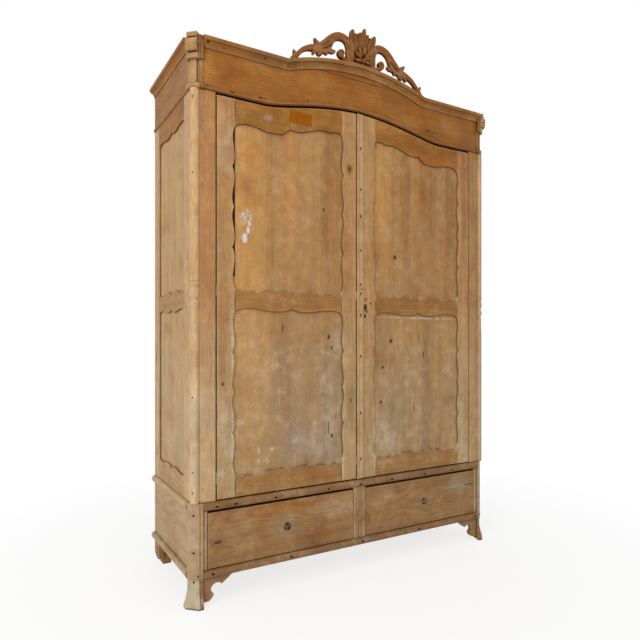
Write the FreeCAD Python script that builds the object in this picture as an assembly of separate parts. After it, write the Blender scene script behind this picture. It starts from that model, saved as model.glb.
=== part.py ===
import FreeCAD, Part
import math
import os

# Two-door wardrobe of stripped pine with two base drawers, canted corners and an arched crown.
# Right is +X, the front faces -Y and the floor is at Z zero. Lengths are in millimetres.

V = FreeCAD.Vector

# Case: width over the side planes, depth from the face to the back, and the canted front corners
case_width = 1336.0
case_depth = 484.0
cant_leg = 25.0

# Heights of the storeys, from the floor upwards
foot_height = 95.0
base_rail_height = 27.0
drawer_opening_height = 198.0
waist_rail_height = 29.0
door_opening_height = 1379.0
frieze_height = 174.0
crest_height = 141.0

# Arches of the door heads and of the cornice
door_arch_half = 400.0
door_arch_rise = 52.0
arch_power_share = 1.5
arch_steps = 16
cornice_arch_half = 318.0
cornice_arch_rise = 55.0

# Boards
side_board = 20.0
side_frame_thick = 22.0
face_thick = 22.0
back_board_thick = 12.0
base_back_thick = 22.0
floor_thick = 13.0
bottom_thick = 12.0
shelf_thick = 18.0
top_board_thick = 14.0
crown_back_thick = 16.0
back_board_count = 5
back_board_joint = 0.6

# Face frame
face_stile_width = 56.0
base_stile_width = 26.0
centre_stile_half = 27.0
waist_rail_depth = 60.0

# Mouldings
cornice_height = 35.0
cornice_out = 22.0
base_nose = 13.5
waist_nose = 12.0
corner_lip = 10.0

# Doors
door_thick = 24.0
door_bottom_gap = 4.0
door_head_gap = 8.0
meeting_x = -14.0
meeting_gap = 3.0
stile_width = 68.0
lock_stile_width = 91.0
bottom_rail_width = 81.0
mid_rail_width = 74.0
mid_rail_drop = 7.5
top_rail_width = 89.0
side_top_rail_width = 82.0
scallop = 12.0
panel_thick = 9.0
panel_setback = 7.0
panel_housing = 20.0
panel_play = 0.3

# Door pivots
pivot_inset = 25.0
pivot_depth = 11.0
pivot_radius = 4.0
pivot_fit = 0.05
pivot_run = 0.1
pivot_embed = 30.0
pivot_reach = 12.0
pivot_end_play = 0.3
pivot_plate_long = 36.0
pivot_plate_wide = 15.0
pivot_plate_thick = 2.5
swing_clearance = 1.7

# Cutters pass this far beyond what they cut
overrun = 5.0

# Places that follow from the sizes above
side_x = case_width / 2
face_x = side_x - cant_leg
front = cornice_out / 2 - case_depth / 2
back = front + case_depth
cant_y = front + cant_leg
z_base = foot_height
z_drawer = z_base + base_rail_height
z_waist = z_drawer + drawer_opening_height
z_door = z_waist + waist_rail_height
z_crown = z_door + door_opening_height
bottom_rail_top = z_door + bottom_rail_width
mid_rail_bottom = (z_door + z_crown - mid_rail_width) / 2 - mid_rail_drop
mid_rail_top = mid_rail_bottom + mid_rail_width
side_head = z_crown - side_top_rail_width
z_top = z_crown + frieze_height
z_cornice = z_top - cornice_height
z_arch = z_top + cornice_arch_rise
arch_radius = (cornice_arch_half ** 2 + cornice_arch_rise ** 2) / (2 * cornice_arch_rise)
arch_centre_z = z_arch - arch_radius
stile_edge_x = face_x - face_stile_width
door_side_gap = math.hypot(pivot_inset, pivot_depth) - pivot_inset + swing_clearance
door_edge_x = stile_edge_x - door_side_gap
pivot_x = door_edge_x - pivot_inset
pivot_y = front + pivot_depth
inner_x = side_x - side_board
frame_inner_x = side_x - side_frame_thick
cant_mid_x = (face_x + side_x) / 2
cant_mid_y = (front + cant_y) / 2
back_face = back - back_board_thick
base_back_face = back - base_back_thick


# General shapes

def block(x0, x1, y0, y1, z0, z1):
    """Box between two opposite corners."""
    return Part.makeBox(x1 - x0, y1 - y0, z1 - z0, V(x0, y0, z0))


def prism(points, depth):
    """Straight-sided outline pushed along a vector."""
    return Part.Face(Part.makePolygon(points + points[:1])).extrude(depth)


def pushed(edges, depth):
    """Closed run of edges pushed along a vector."""
    return Part.Face(Part.Wire(edges)).extrude(depth)


def line(a, b):
    """Straight edge."""
    return Part.LineSegment(a, b).toShape()


def arc(a, b, c):
    """Round edge from a through b to c."""
    return Part.Arc(a, b, c).toShape()


def spline(points):
    """Smooth edge through points."""
    curve = Part.BSplineCurve()
    curve.interpolate(points)
    return curve.toShape()


def arcs(points):
    """Round edges in a row, each through three points, with shared ends."""
    return [arc(*points[i:i + 3]) for i in range(0, len(points) - 1, 2)]


def chain(points):
    """Straight edges through points, left open."""
    return [line(a, b) for a, b in zip(points, points[1:])]


def rod(radius, base, direction, length):
    """Round bar from a base point."""
    return Part.makeCylinder(radius, length, base, direction)


def mirrored(shape):
    """Copy on the other side of the middle plane."""
    return shape.mirror(V(0, 0, 0), V(1, 0, 0))


def moved(shape, x, y, z):
    """Copy shifted by x, y and z."""
    copy = shape.copy()
    copy.translate(V(x, y, z))
    return copy


def save(name, *shapes):
    """Write one sub-part, whose pieces stay separate solids."""
    solids = [solid for shape in shapes for solid in shape.Solids]
    shape = solids[0] if len(solids) == 1 else Part.makeCompound(solids)
    shape.exportStep("parts/" + name + ".step")


def save_pair(name, *shapes):
    """Write the right-hand sub-part and its mirror image on the left."""
    save(name + "_right", *shapes)
    save(name + "_left", *[mirrored(shape) for shape in shapes])


# Arched line over the doors

def head_line(x):
    """Height of the frieze's lower edge, a flattened bell over the doors."""
    share = min(abs(x) / door_arch_half, 1)
    return z_crown + door_arch_rise * (1 - share * share) ** arch_power_share


def under_head(drop, y0, y1):
    """Everything below the arched line lowered by drop, across the whole opening."""
    steps = range(arch_steps + 1)
    places = [door_arch_half * (2 * i / arch_steps - 1) for i in steps]
    crown = spline([V(x, y0, head_line(x) - drop) for x in places])
    right = chain([
        V(door_arch_half, y0, z_crown - drop),
        V(side_x, y0, z_crown - drop),
        V(side_x, y0, z_door),
        V(-side_x, y0, z_door),
        V(-side_x, y0, z_crown - drop),
        V(-door_arch_half, y0, z_crown - drop),
    ])
    return pushed([crown] + right, V(0, y1 - y0, 0))


# Scalloped frame openings

# Each mark is the share along the edge, the share of the scallop's depth, and whether it is a cusp.
side_share = [
    (0, 0, True), (0.075, 0.85, False), (0.17, 0.33, False), (0.255, 1, True),
    (0.33, 0.33, False), (0.43, 1, False), (0.5, 0.5, True),
    (0.57, 1, False), (0.67, 0.33, False), (0.745, 1, True),
    (0.83, 0.33, False), (0.925, 0.85, False), (1, 0, True),
]
level_share = [
    (0, 0, True), (0.09, 0.75, False), (0.32, 0.02, False), (0.5, 0.95, True),
    (0.68, 0.02, False), (0.91, 0.75, False), (1, 0, True),
]
plain_share = [(0, 0, True), (1, 0, True)]
head_share = [
    (0, 0, True), (0.07, 0.9, False), (0.27, 0, False), (0.49, 1, True),
    (0.64, 0.15, False), (0.78, 0.8, False), (0.88, 0.1, True), (0.935, 0.5, False), (1, 0, True),
]


def scalloped(base, normal, marks):
    """Edge with cusps: smooth runs that swing outward from the base line."""
    edges = []
    run = []
    for along, out, cusp in marks:
        run.append(base(along) + normal * (scallop * out))
        if cusp and len(run) > 1:
            edges.append(spline(run))
            run = run[-1:]
    return edges


def opening(a0, a1, z0, roof, thick, jamb, head):
    """Cutter for one opening: scalloped in front of the panel and straight behind it."""
    y = -overrun
    lip = panel_setback + panel_thick / 2

    def sill(share):
        return V(a0 + (a1 - a0) * share, y, z0)

    def jamb_1(share):
        return V(a1, y, z0 + (roof(a1) - z0) * share)

    def lintel(share):
        a = a1 + (a0 - a1) * share
        return V(a, y, roof(a))

    def jamb_0(share):
        return V(a0, y, roof(a0) + (z0 - roof(a0)) * share)

    edges = scalloped(sill, V(0, 0, -1), level_share)
    edges += scalloped(jamb_1, V(1, 0, 0), jamb)
    edges += scalloped(lintel, V(0, 0, 1), head)
    edges += scalloped(jamb_0, V(-1, 0, 0), jamb)
    front_part = pushed(edges, V(0, overrun + lip, 0))
    corners = [
        V(a0, lip, z0),
        V(a1, lip, z0),
        V(a1, lip, roof(a1)),
        V(a0, lip, roof(a0)),
    ]
    return front_part.fuse(prism(corners, V(0, thick + overrun - lip, 0)))


def housed_panel(a0, a1, z0, roof, play):
    """Flat panel that enters the grooves all round; play makes the groove's own shape."""
    reach = panel_housing + play
    y = panel_setback - play
    points = [
        V(a0 - reach, y, z0 - reach),
        V(a1 + reach, y, z0 - reach),
        V(a1 + reach, y, roof(a1) + reach),
        V(a0 - reach, y, roof(a0) + reach),
    ]
    return prism(points, V(0, panel_thick + 2 * play, 0))


def frame_and_panels(a0, a1, width_0, width_1, z0, z1, thick, roof, jamb, head):
    """Stiles, three rails and two panels, with the outer face at Y zero."""
    b0 = a0 + width_0
    b1 = a1 - width_1
    low_roof = min(roof(b0), roof(b1))

    def shelf(a):
        return mid_rail_bottom

    cutters = [
        opening(b0, b1, bottom_rail_top, shelf, thick, jamb, level_share),
        opening(b0, b1, mid_rail_top, roof, thick, jamb, head),
        housed_panel(b0, b1, bottom_rail_top, shelf, panel_play),
        housed_panel(b0, b1, mid_rail_top, roof, panel_play),
    ]
    stiles = [
        block(a0, b0, 0, thick, z0, z1),
        block(b1, a1, 0, thick, z0, z1),
    ]
    rails = [
        block(b0, b1, 0, thick, z0, bottom_rail_top),
        block(b0, b1, 0, thick, mid_rail_bottom, mid_rail_top),
        block(b0, b1, 0, thick, low_roof, z1),
    ]
    panels = [
        housed_panel(b0, b1, bottom_rail_top, shelf, 0),
        housed_panel(b0, b1, mid_rail_top, roof, 0),
    ]
    stiles = [stile.cut(cutters) for stile in stiles]
    rails = [rail.cut(cutters) for rail in rails]
    return stiles, rails, panels


# Corner pieces

def corner_plan(out, lip, z):
    """Plan of a piece that wraps the right canted corner and stands out from it."""
    slant = out * math.tan(math.pi / 8)
    return [
        V(face_x - lip, front, z),
        V(face_x - lip, front - out, z),
        V(face_x + slant, front - out, z),
        V(side_x + out, cant_y - slant, z),
        V(side_x + out, cant_y + lip, z),
        V(side_x, cant_y + lip, z),
        V(side_x, cant_y, z),
        V(face_x, cant_y, z),
        V(face_x, front, z),
    ]


def corner_block(out, lip, z0, z1):
    """Straight length of a corner piece."""
    return prism(corner_plan(out, lip, z0), V(0, 0, z1 - z0))


def at_cant(shape):
    """Turn a piece that faces the front at the origin so that it faces out of the cant."""
    turned = shape.copy()
    turned.rotate(V(0, 0, 0), V(0, 0, 1), 45)
    turned.translate(V(cant_mid_x, cant_mid_y, 0))
    return turned


# Corner posts of the base and feet that flare out below them

base_corner_out = 8.0
base_corner_round = 4.0


def base_corner():
    """Post between the base rail and the waist, with its two front edges rounded."""
    post = corner_block(base_corner_out, corner_lip, z_base, z_door)
    slant = base_corner_out * math.tan(math.pi / 8)
    places = (face_x + slant, side_x + base_corner_out)
    edges = []
    for edge in post.Edges:
        start = edge.Vertexes[0].Point
        end = edge.Vertexes[-1].Point
        upright = abs(start.x - end.x) < pivot_run and abs(start.z - end.z) > foot_height
        if upright and min(abs(start.x - x) for x in places) < pivot_run and start.y < cant_y:
            edges.append(edge)
    return post.makeFillet(base_corner_round, edges)


# Height and projection shares of the flared foot, from the top down.
foot_share = [(1, 0.3), (0.62, 0.3), (0.32, 0.6), (0.09, 1), (0, 0.86)]
foot_flare = 20.0


def stacked(plans):
    """Solid between plans of equal count whose edges stay parallel from one to the next."""
    faces = [Part.Face(Part.makePolygon(plan + plan[:1])) for plan in (plans[0], plans[-1])]
    for upper, lower in zip(plans, plans[1:]):
        for i in range(len(upper)):
            j = (i + 1) % len(upper)
            corners = [upper[i], upper[j], lower[j], lower[i], upper[i]]
            faces.append(Part.Face(Part.makePolygon(corners)))
    return Part.Solid(Part.Shell(faces)).removeSplitter()


def corner_foot():
    """Foot whose canted face is hollowed and then flares out to the floor."""
    plans = []
    for height, flare in foot_share:
        plans.append(corner_plan(foot_flare * flare, corner_lip, foot_height * height))
    return stacked(plans)


# Scrolled foot brackets

bracket_length = 118.0
bracket_drop = 79.0
bracket_thick = 20.0
side_bracket_length = 52.0
side_bracket_drop = 19.0
rear_bracket_length = 165.0
rear_bracket_drop = 71.0
rear_leg_wide = 32.0
rear_leg_deep = 45.0
rear_leg_inset = 6.0


def front_bracket():
    """Bracket under the base rail: beak, round bite and a straight run up to the rail."""

    def at(along_share, drop_share):
        x = face_x - bracket_length * along_share
        return V(x, front, z_base - bracket_drop * drop_share)

    edges = chain([at(0, 0), at(0, 1), at(0.25, 1)])
    edges.append(spline([at(0.25, 1), at(0.35, 0.91), at(0.43, 0.73)]))
    edges += chain([at(0.43, 0.73), at(0.34, 0.58), at(0.34, 0.54)])
    edges.append(arc(at(0.34, 0.54), at(0.47, 0.28), at(0.66, 0.37)))
    edges += chain([at(0.66, 0.37), at(1, 0), at(0, 0)])
    return pushed(edges, V(0, bracket_thick, 0))


def side_bracket():
    """Short cusped bracket behind the front foot on the side."""

    def at(along_share, drop_share):
        y = cant_y + corner_lip + side_bracket_length * along_share
        return V(side_x - bracket_thick, y, z_base - side_bracket_drop * drop_share)

    edges = chain([at(0, 0), at(0, 1), at(0.3, 1)])
    edges.append(arc(at(0.3, 1), at(0.45, 0.5), at(0.7, 0.75)))
    edges += chain([at(0.7, 0.75), at(1, 0), at(0, 0)])
    return pushed(edges, V(bracket_thick, 0, 0))


def rear_bracket():
    """Rear foot bracket on the side: a leg rounded at the back and low scallops in front."""

    def at(along_share, drop_share):
        y = back - rear_bracket_length * along_share
        return V(side_x - bracket_thick, y, z_base - rear_bracket_drop * drop_share)

    edges = chain([at(0, 0), at(0, 0.76)])
    edges.append(spline([at(0, 0.76), at(0.12, 0.93), at(0.34, 1)]))
    edges += chain([at(0.34, 1), at(0.4, 0.84), at(0.38, 0.34)])
    edges.append(arc(at(0.38, 0.34), at(0.48, 0.16), at(0.6, 0.26)))
    edges.append(arc(at(0.6, 0.26), at(0.72, 0.08), at(0.86, 0.16)))
    edges += chain([at(0.86, 0.16), at(1, 0), at(0, 0)])
    return pushed(edges, V(bracket_thick, 0, 0))


def rear_leg():
    """Square leg behind the rear bracket that carries the weight."""
    x1 = side_x - bracket_thick
    y1 = back - rear_leg_inset
    return block(x1 - rear_leg_wide, x1, y1 - rear_leg_deep, y1, 0, z_base)


# Rails and side mouldings with a round nose

def nose_front(out, z0, z1):
    """Half-round nose along the front, between the corner pieces."""
    x = face_x - corner_lip
    profile = [
        arc(V(-x, front, z0), V(-x, front - out, (z0 + z1) / 2), V(-x, front, z1)),
        line(V(-x, front, z1), V(-x, front, z0)),
    ]
    return pushed(profile, V(2 * x, 0, 0))


def nose_side(out, z0, z1):
    """Half-round moulding along the right side, from the corner piece to the back."""
    y = cant_y + corner_lip
    profile = [
        arc(V(side_x, y, z0), V(side_x + out, y, (z0 + z1) / 2), V(side_x, y, z1)),
        line(V(side_x, y, z1), V(side_x, y, z0)),
    ]
    return pushed(profile, V(0, back - y, 0))


def pivot_hole(z, direction):
    """Running hole for one door pin, from z along the direction."""
    base = V(pivot_x, pivot_y, z)
    return rod(pivot_radius + pivot_run, base, direction, pivot_reach + pivot_end_play)


# Base: sides, rails, stiles, back, bottom and drawer runners

def base_rail():
    """Bottom rail of the base with its nose."""
    body = block(-face_x, face_x, front, front + face_thick, z_base, z_drawer)
    return body.fuse(nose_front(base_nose, z_base, z_drawer)).removeSplitter()


def waist_rail():
    """Rail between drawers and doors, deep enough to carry the floor and the lower pivots."""
    body = block(-face_x, face_x, front, front + waist_rail_depth, z_waist, z_door)
    body = body.fuse(nose_front(waist_nose, z_waist, z_door)).removeSplitter()
    hole = pivot_hole(z_door, V(0, 0, -1))
    return body.cut([hole, mirrored(hole)])


runner_height = 10.0
runner_width = 27.0
guide_height = 26.0
runner_seat = z_drawer - runner_height


def runners():
    """Rebated strips that carry the drawers: one at each side and one in the middle."""
    y0 = front + face_thick
    x0 = face_x - base_stile_width
    ledge = block(x0 - runner_width, x0, y0, base_back_face, runner_seat, z_drawer)
    guide = block(x0, inner_x, cant_y, base_back_face, runner_seat, z_drawer + guide_height)
    outer = ledge.fuse(guide).removeSplitter()
    half = centre_stile_half
    wide = half + runner_width
    ledge = block(-wide, wide, y0, base_back_face, runner_seat, z_drawer)
    guide = block(-half, half, y0, base_back_face, runner_seat, z_drawer + guide_height)
    return outer, mirrored(outer), ledge.fuse(guide).removeSplitter()


def build_base():
    """All fixed pieces below the doors."""
    save_pair("base_side", block(inner_x, side_x, cant_y, back, z_base, z_door))
    save_pair("base_corner", base_corner())
    save("base_rail", base_rail())
    save("waist_rail", waist_rail())
    save_pair(
        "side_mouldings",
        nose_side(base_nose, z_base, z_drawer),
        nose_side(waist_nose, z_waist, z_door),
    )
    x0 = face_x - base_stile_width
    y1 = front + face_thick
    stile = block(x0, face_x, front, y1, z_drawer, z_waist)
    centre = block(-centre_stile_half, centre_stile_half, front, y1, z_drawer, z_waist)
    save("base_stiles", stile, centre, mirrored(stile))
    save("base_back", block(-inner_x, inner_x, base_back_face, back, z_base, z_door))
    bottom_z = runner_seat - bottom_thick
    save("base_bottom", block(-inner_x, inner_x, cant_y, base_back_face, bottom_z, runner_seat))
    save("drawer_runners", *runners())
    save_pair("foot_corner", corner_foot())
    save_pair("foot_brackets", front_bracket(), side_bracket())
    save_pair("rear_foot", rear_bracket(), rear_leg())


# Upper case: face stiles, framed sides, columns, back, floor, shelf and rail

side_stile_width = 66.0


def side_roof(a):
    """Lower edge of the side's top rail."""
    return side_head


def turned_to_side(shape):
    """Stand a frame that faces the front on the right side of the case."""
    turned = shape.copy()
    turned.rotate(V(0, 0, 0), V(0, 0, 1), 90)
    turned.translate(V(side_x, 0, 0))
    return turned


def build_side():
    """Framed side whose front stile is mitred to the canted corner."""
    stiles, rails, panels = frame_and_panels(
        cant_y, back, side_stile_width, side_stile_width,
        z_door, z_crown, side_frame_thick, side_roof, plain_share, level_share,
    )
    stiles = [turned_to_side(stile) for stile in stiles]
    rails = [turned_to_side(rail) for rail in rails]
    panels = [turned_to_side(panel) for panel in panels]
    nose = [
        V(face_x, front, z_door),
        V(side_x, cant_y, z_door),
        V(face_x, cant_y, z_door),
    ]
    front_stile = stiles[0].fuse(prism(nose, V(0, 0, z_crown - z_door))).removeSplitter()
    save_pair("side_frame", front_stile, stiles[1], *rails)
    save_pair("side_panels", *panels)


column_radius = 16.0
knuckle_rise = 1.5
knuckle_half = 50.0
column_taper = 90.0

# Knuckle profile: share of its half height from the middle, and share of the shaft's radius.
knuckle_share = [
    (-1, 0.88), (-0.72, 0.9), (-0.56, 1.05), (-0.38, 1), (-0.22, 0.78), (-0.08, 0.95),
    (0.16, 1.06), (0.4, 0.98), (0.56, 0.88), (0.7, 1.02), (0.86, 1.05), (0.96, 0.88),
]


def column():
    """Half-round turned column laid against the cant, with a knuckle at mid height."""
    knuckle_z = (z_door + z_crown) / 2 + knuckle_rise
    turned = [V(column_radius * r, 0, knuckle_z + knuckle_half * h) for h, r in knuckle_share]
    profile = chain([
        V(0, 0, z_door),
        V(column_radius, 0, z_door),
        V(column_radius, 0, knuckle_z - knuckle_half - column_taper),
        turned[0],
    ])
    profile.append(spline(turned))
    profile += chain([
        turned[-1],
        V(column_radius, 0, knuckle_z + knuckle_half),
        V(column_radius, 0, z_crown),
        V(0, 0, z_crown),
        V(0, 0, z_door),
    ])
    whole = Part.Face(Part.Wire(profile)).revolve(V(0, 0, 0), V(0, 0, 1), 360)
    room = 2 * column_radius
    inner_half = block(-room, room, 0, room, z_door - overrun, z_crown + overrun)
    return at_cant(whole.cut(inner_half))


shelf_drop = 248.0
shelf_z = z_crown - shelf_drop
shelf_front = 60.0
cleat_height = 90.0
cleat_thick = 20.0
cleat_front = 80.0
cleat_back = 24.0
rail_radius = 14.0
rail_play = 0.2
rail_drop = 50.0
rail_socket = 14.0
stop_height = 12.0
stop_half = 515.0
stop_play = 0.5


def build_inside():
    """Floor, door stop, hat shelf on its cleats, and the hanging rail between them."""
    x = frame_inner_x
    y0 = front + waist_rail_depth - cleat_thick
    save("floor_board", block(-x, x, y0, back_face, z_door, z_door + floor_thick))
    stop_y = front + door_thick + stop_play
    save("door_stop", block(-stop_half, stop_half, stop_y, y0, z_door, z_door + stop_height))
    save("hat_shelf", block(-x, x, front + shelf_front, back_face, shelf_z, shelf_z + shelf_thick))
    mid_y = (front + cleat_front + back_face - cleat_back) / 2
    rail_z = shelf_z - rail_drop
    cleat = block(
        x - cleat_thick, x, front + cleat_front, back_face - cleat_back,
        shelf_z - cleat_height, shelf_z,
    )
    socket_x = x - cleat_thick - overrun
    socket_length = rail_socket + overrun
    cleat = cleat.cut(rod(rail_radius + rail_play, V(socket_x, mid_y, rail_z), V(1, 0, 0), socket_length))
    save("shelf_cleats", cleat, mirrored(cleat))
    reach = x - cleat_thick + rail_socket - rail_play
    save("hanging_rail", rod(rail_radius, V(-reach, mid_y, rail_z), V(1, 0, 0), 2 * reach))


def build_back():
    """Upright back boards side by side between the framed sides."""
    pitch = 2 * frame_inner_x / back_board_count
    boards = []
    for i in range(back_board_count):
        x0 = -frame_inner_x + pitch * i
        x1 = x0 + pitch - back_board_joint
        boards.append(block(x0, x1, back_face, back, z_door, z_crown))
    save("back_boards", *boards)


def build_case():
    """All fixed pieces between the waist and the crown."""
    y1 = front + face_thick
    save_pair("front_stile", block(stile_edge_x, face_x, front, y1, z_door, z_crown))
    build_side()
    save_pair("column", column())
    build_back()
    build_inside()


# Crown: frieze, cornice, corner capitals, top board

# Cornice profile: share of the projection and share of the height, from the lower edge up.
cornice_fillet_share = (0.14, 0.1)
cornice_hollow_share = (0.36, 0.36)
cornice_shoulder_share = (0.72, 0.5)
cornice_step_share = (0.86, 0.58)
cornice_bead_share = (1, 0.79)


def cornice_profile(at):
    """Face of the cornice: fillet, hollow, step and round bead; at places a share pair."""
    fillet = cornice_fillet_share
    shoulder = cornice_shoulder_share
    step = cornice_step_share
    edges = chain([at(0, 0), at(fillet[0], 0), at(*fillet)])
    edges.append(arc(at(*fillet), at(*cornice_hollow_share), at(*shoulder)))
    edges += chain([at(*shoulder), at(shoulder[0], step[1]), at(*step)])
    edges.append(arc(at(*step), at(*cornice_bead_share), at(step[0], 1)))
    edges += chain([at(step[0], 1), at(0, 1), at(0, 0)])
    return Part.Face(Part.Wire(edges))


def cornice_front():
    """Straight cornice on the right of the arch."""

    def at(out, up):
        return V(cornice_arch_half, front - cornice_out * out, z_cornice + cornice_height * up)

    length = face_x - corner_lip - cornice_arch_half
    return cornice_profile(at).extrude(V(length, 0, 0))


def cornice_side():
    """Straight cornice along the right side."""
    y = cant_y + corner_lip

    def at(out, up):
        return V(side_x + cornice_out * out, y, z_cornice + cornice_height * up)

    return cornice_profile(at).extrude(V(0, back - y, 0))


def cornice_arch():
    """Cornice carried over the arch: the same profile turned about the arch's centre."""
    foot = arch_radius - cornice_height

    def at(out, up):
        return V(0, front - cornice_out * out, arch_centre_z + foot + cornice_height * up)

    centre = V(0, 0, arch_centre_z)
    whole = cornice_profile(at).revolve(centre, V(0, 1, 0), 360)
    gate = block(
        -cornice_arch_half, cornice_arch_half, front - cornice_out - overrun, front + overrun,
        z_crown, z_arch + overrun,
    )
    return whole.common(gate)


crown_bead_height = 14.0
crown_bead_out = 5.0
crown_bead_step = 3.0
collar_lip = 12.0


def level_edges(shape, outside):
    """Level outer edges of a shape; outside tells whether a point is an outer one."""
    edges = []
    for edge in shape.Edges:
        ends = [vertex.Point for vertex in edge.Vertexes]
        level = abs(ends[0].z - ends[-1].z) < edge.Length / 2
        if level and all(outside(end) for end in ends):
            edges.append(edge)
    return edges


def frieze_strip(rise_0, rise_1, out):
    """Strip in front of the frieze between two heights over the arched lower edge."""
    reach = face_x - collar_lip
    strip = under_head(-rise_1, front - out, front)
    strip = strip.common(block(-reach, reach, front - out, front, z_crown, z_top))
    return strip.cut(under_head(-rise_0, front - out - overrun, front + overrun))


def side_strip(rise_0, rise_1, out):
    """Strip outside the right crown side between two heights over its lower edge."""
    y0 = cant_y + collar_lip
    return block(side_x, side_x + out, y0, back, z_crown + rise_0, z_crown + rise_1)


def crown_bead(strip):
    """Stepped bead along the foot of the crown, made of two strips."""
    flat = strip(0, crown_bead_height, crown_bead_out - crown_bead_step)
    top = crown_bead_height - crown_bead_step
    return flat.fuse(strip(crown_bead_step, top, crown_bead_out))


def frieze_board():
    """Board over the doors with its bead, the arched lower edge and the upper pivot holes."""
    board = block(-face_x, face_x, front, front + face_thick, z_crown, z_top)
    hole = pivot_hole(z_crown, V(0, 0, 1))
    cutter = under_head(0, front - overrun, front + face_thick + overrun)
    board = board.cut([cutter, hole, mirrored(hole)])
    return board.fuse(crown_bead(frieze_strip)).removeSplitter()


def frieze_arch():
    """Segment glued on the frieze board behind the arched cornice."""
    disc = rod(arch_radius, V(0, front, arch_centre_z), V(0, 1, 0), face_thick)
    return disc.common(block(-face_x, face_x, front, front + face_thick, z_top, z_arch + overrun))


collar_height = 15.0
collar_out = 11.0
collar_round = 5.0
corner_back_out = 2.5
pilaster_height = 82.0
pilaster_half = 10.5
pilaster_out = 9.0
plinth_height = 18.0
plinth_half = 19.0
plinth_out = 15.0
plinth_back_out = 10.0
scroll_height = 46.0
scroll_half_width = 17.5
scroll_out = 29.0
eye_radius = 8.0
eye_out = 2.5
cap_gap = 2.0
cap_half = 18.5
cap_out = 24.0
cap_rise = 4.0

# Console profile: share of its projection, and share of the scroll's height.
scroll_share = [(0.5, 0), (0.42, 0.16), (0.62, 0.34), (1, 0.66), (0.6, 1)]
eye_share = (0.66, 0.68)


def capital():
    """Corner capital of the crown: collar, pilaster, plinth, console with eyes, and cap."""
    z1 = z_crown + collar_height
    z2 = z1 + pilaster_height
    z3 = z2 + plinth_height
    z4 = z3 + scroll_height

    def on_cant(half, out, low, high):
        return at_cant(block(-half, half, -out, 0, low, high))

    def outside(point):
        off_cant = (point.x - cant_mid_x - point.y + cant_mid_y) / math.sqrt(2)
        return max(point.x - side_x, front - point.y, off_cant) > collar_out / 2

    collar = corner_block(collar_out, collar_lip, z_crown, z1)
    collar = collar.makeFillet(collar_round, level_edges(collar, outside))
    lower_back = corner_block(corner_back_out, corner_lip, z1, z2)
    upper_back = corner_block(plinth_back_out, corner_lip, z2, z_top)
    pilaster = on_cant(pilaster_half, pilaster_out, z1, z2)
    plinth = on_cant(plinth_half, plinth_out, z2, z3)
    cap = on_cant(cap_half, cap_out, z4 + cap_gap, z_top + cap_rise)

    def at(out, up):
        return V(-scroll_half_width, -scroll_out * out, z3 + scroll_height * up)

    profile = arcs([at(*share) for share in scroll_share])
    profile += chain([at(*scroll_share[-1]), at(0, 1), at(0, 0), at(*scroll_share[0])])
    console = pushed(profile, V(2 * scroll_half_width, 0, 0))
    eye = at(*eye_share)
    left_eye = rod(eye_radius, eye, V(-1, 0, 0), eye_out)
    right_eye = rod(eye_radius, eye + V(2 * scroll_half_width, 0, 0), V(1, 0, 0), eye_out)
    console = at_cant(console.fuse([left_eye, right_eye]))
    return upper_back.fuse([collar, lower_back, pilaster, plinth, console, cap]).removeSplitter()


def build_crown():
    """All pieces above the doors except the crest."""
    save("frieze_board", frieze_board())
    save("frieze_arch", frieze_arch())
    y1 = back - crown_back_thick
    side = block(inner_x, side_x, cant_y, y1, z_crown, z_top)
    rear = block(-side_x, side_x, y1, back, z_crown, z_top)
    side = side.fuse(crown_bead(side_strip)).removeSplitter()
    save("crown_sides", side, mirrored(side), rear)
    right = cornice_front()
    save("cornice_front", right, mirrored(right))
    save("cornice_arch", cornice_arch())
    flank = cornice_side()
    save("cornice_sides", flank, mirrored(flank))
    save_pair("corner_capital", capital())
    save("top_board", block(-inner_x, inner_x, cant_y, y1, z_cornice, z_cornice + top_board_thick))


# Crest: openwork scrolls on both sides of a palmette

crest_half = 311.0
crest_thick = 20.0
crest_setback = 8.0
scroll_inner = 36.0
scroll_top = 98.0
palmette_half = 62.0
palmette_shoulder = 92.0
volute_radius = 12.0
volute_rise = 5.0

# Points are shares of the crest's half width and of the height of the great scroll.
crest_leaf_share = [(1, -0.54), (0.985, -0.36), (0.94, -0.18)]
crest_low_share = [(0.92, -0.22), (0.87, -0.08), (0.81, 0.07), (0.73, 0.22), (0.68, 0.46)]
crest_high_share = [
    (0.68, 0.46), (0.615, 0.4), (0.54, 0.61), (0.485, 0.78), (0.42, 0.9), (0.31, 1), (0.2, 0.94),
]
great_opening_share = [
    (0.225, 0.48), (0.24, 0.64), (0.3, 0.7), (0.375, 0.66), (0.415, 0.52), (0.41, 0.38),
    (0.375, 0.28),
]
great_return_share = [(0.375, 0.28), (0.34, 0.41), (0.29, 0.45), (0.25, 0.43), (0.225, 0.48)]
middle_gap_share = [(0.31, -0.2), (0.34, 0.09), (0.42, 0.1), (0.485, 0.09), (0.52, -0.2)]
outer_gap_share = [(0.66, -0.4), (0.69, -0.05), (0.76, -0.03), (0.83, -0.15), (0.87, -0.5)]
volute_share = (0.286, 0.29)

# Fan of the palmette, as shares of its half width and height, from its neck to the middle tip.
fan_share = [
    (0.58, 0.66), (1, 0.69), (0.97, 0.8), (0.84, 0.89), (0.62, 0.8),
    (0.36, 0.86), (0.17, 0.81), (0, 1),
]

# Leaves: share of the half width at foot and tip, heights of foot and tip, half width.
leaf_share = [
    (0, 0, 0.3, 0.98, 0.17), (0.14, 0.36, 0.3, 0.84, 0.15), (0.3, 0.8, 0.28, 0.87, 0.16),
    (0.34, 0.94, 0.2, 0.68, 0.13), (0, 0, 0.34, 0.04, 0.2), (0.08, 0.42, 0.26, 0.1, 0.16),
]
leaf_ridge_share = 0.2
leaf_relief = 8.0


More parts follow.
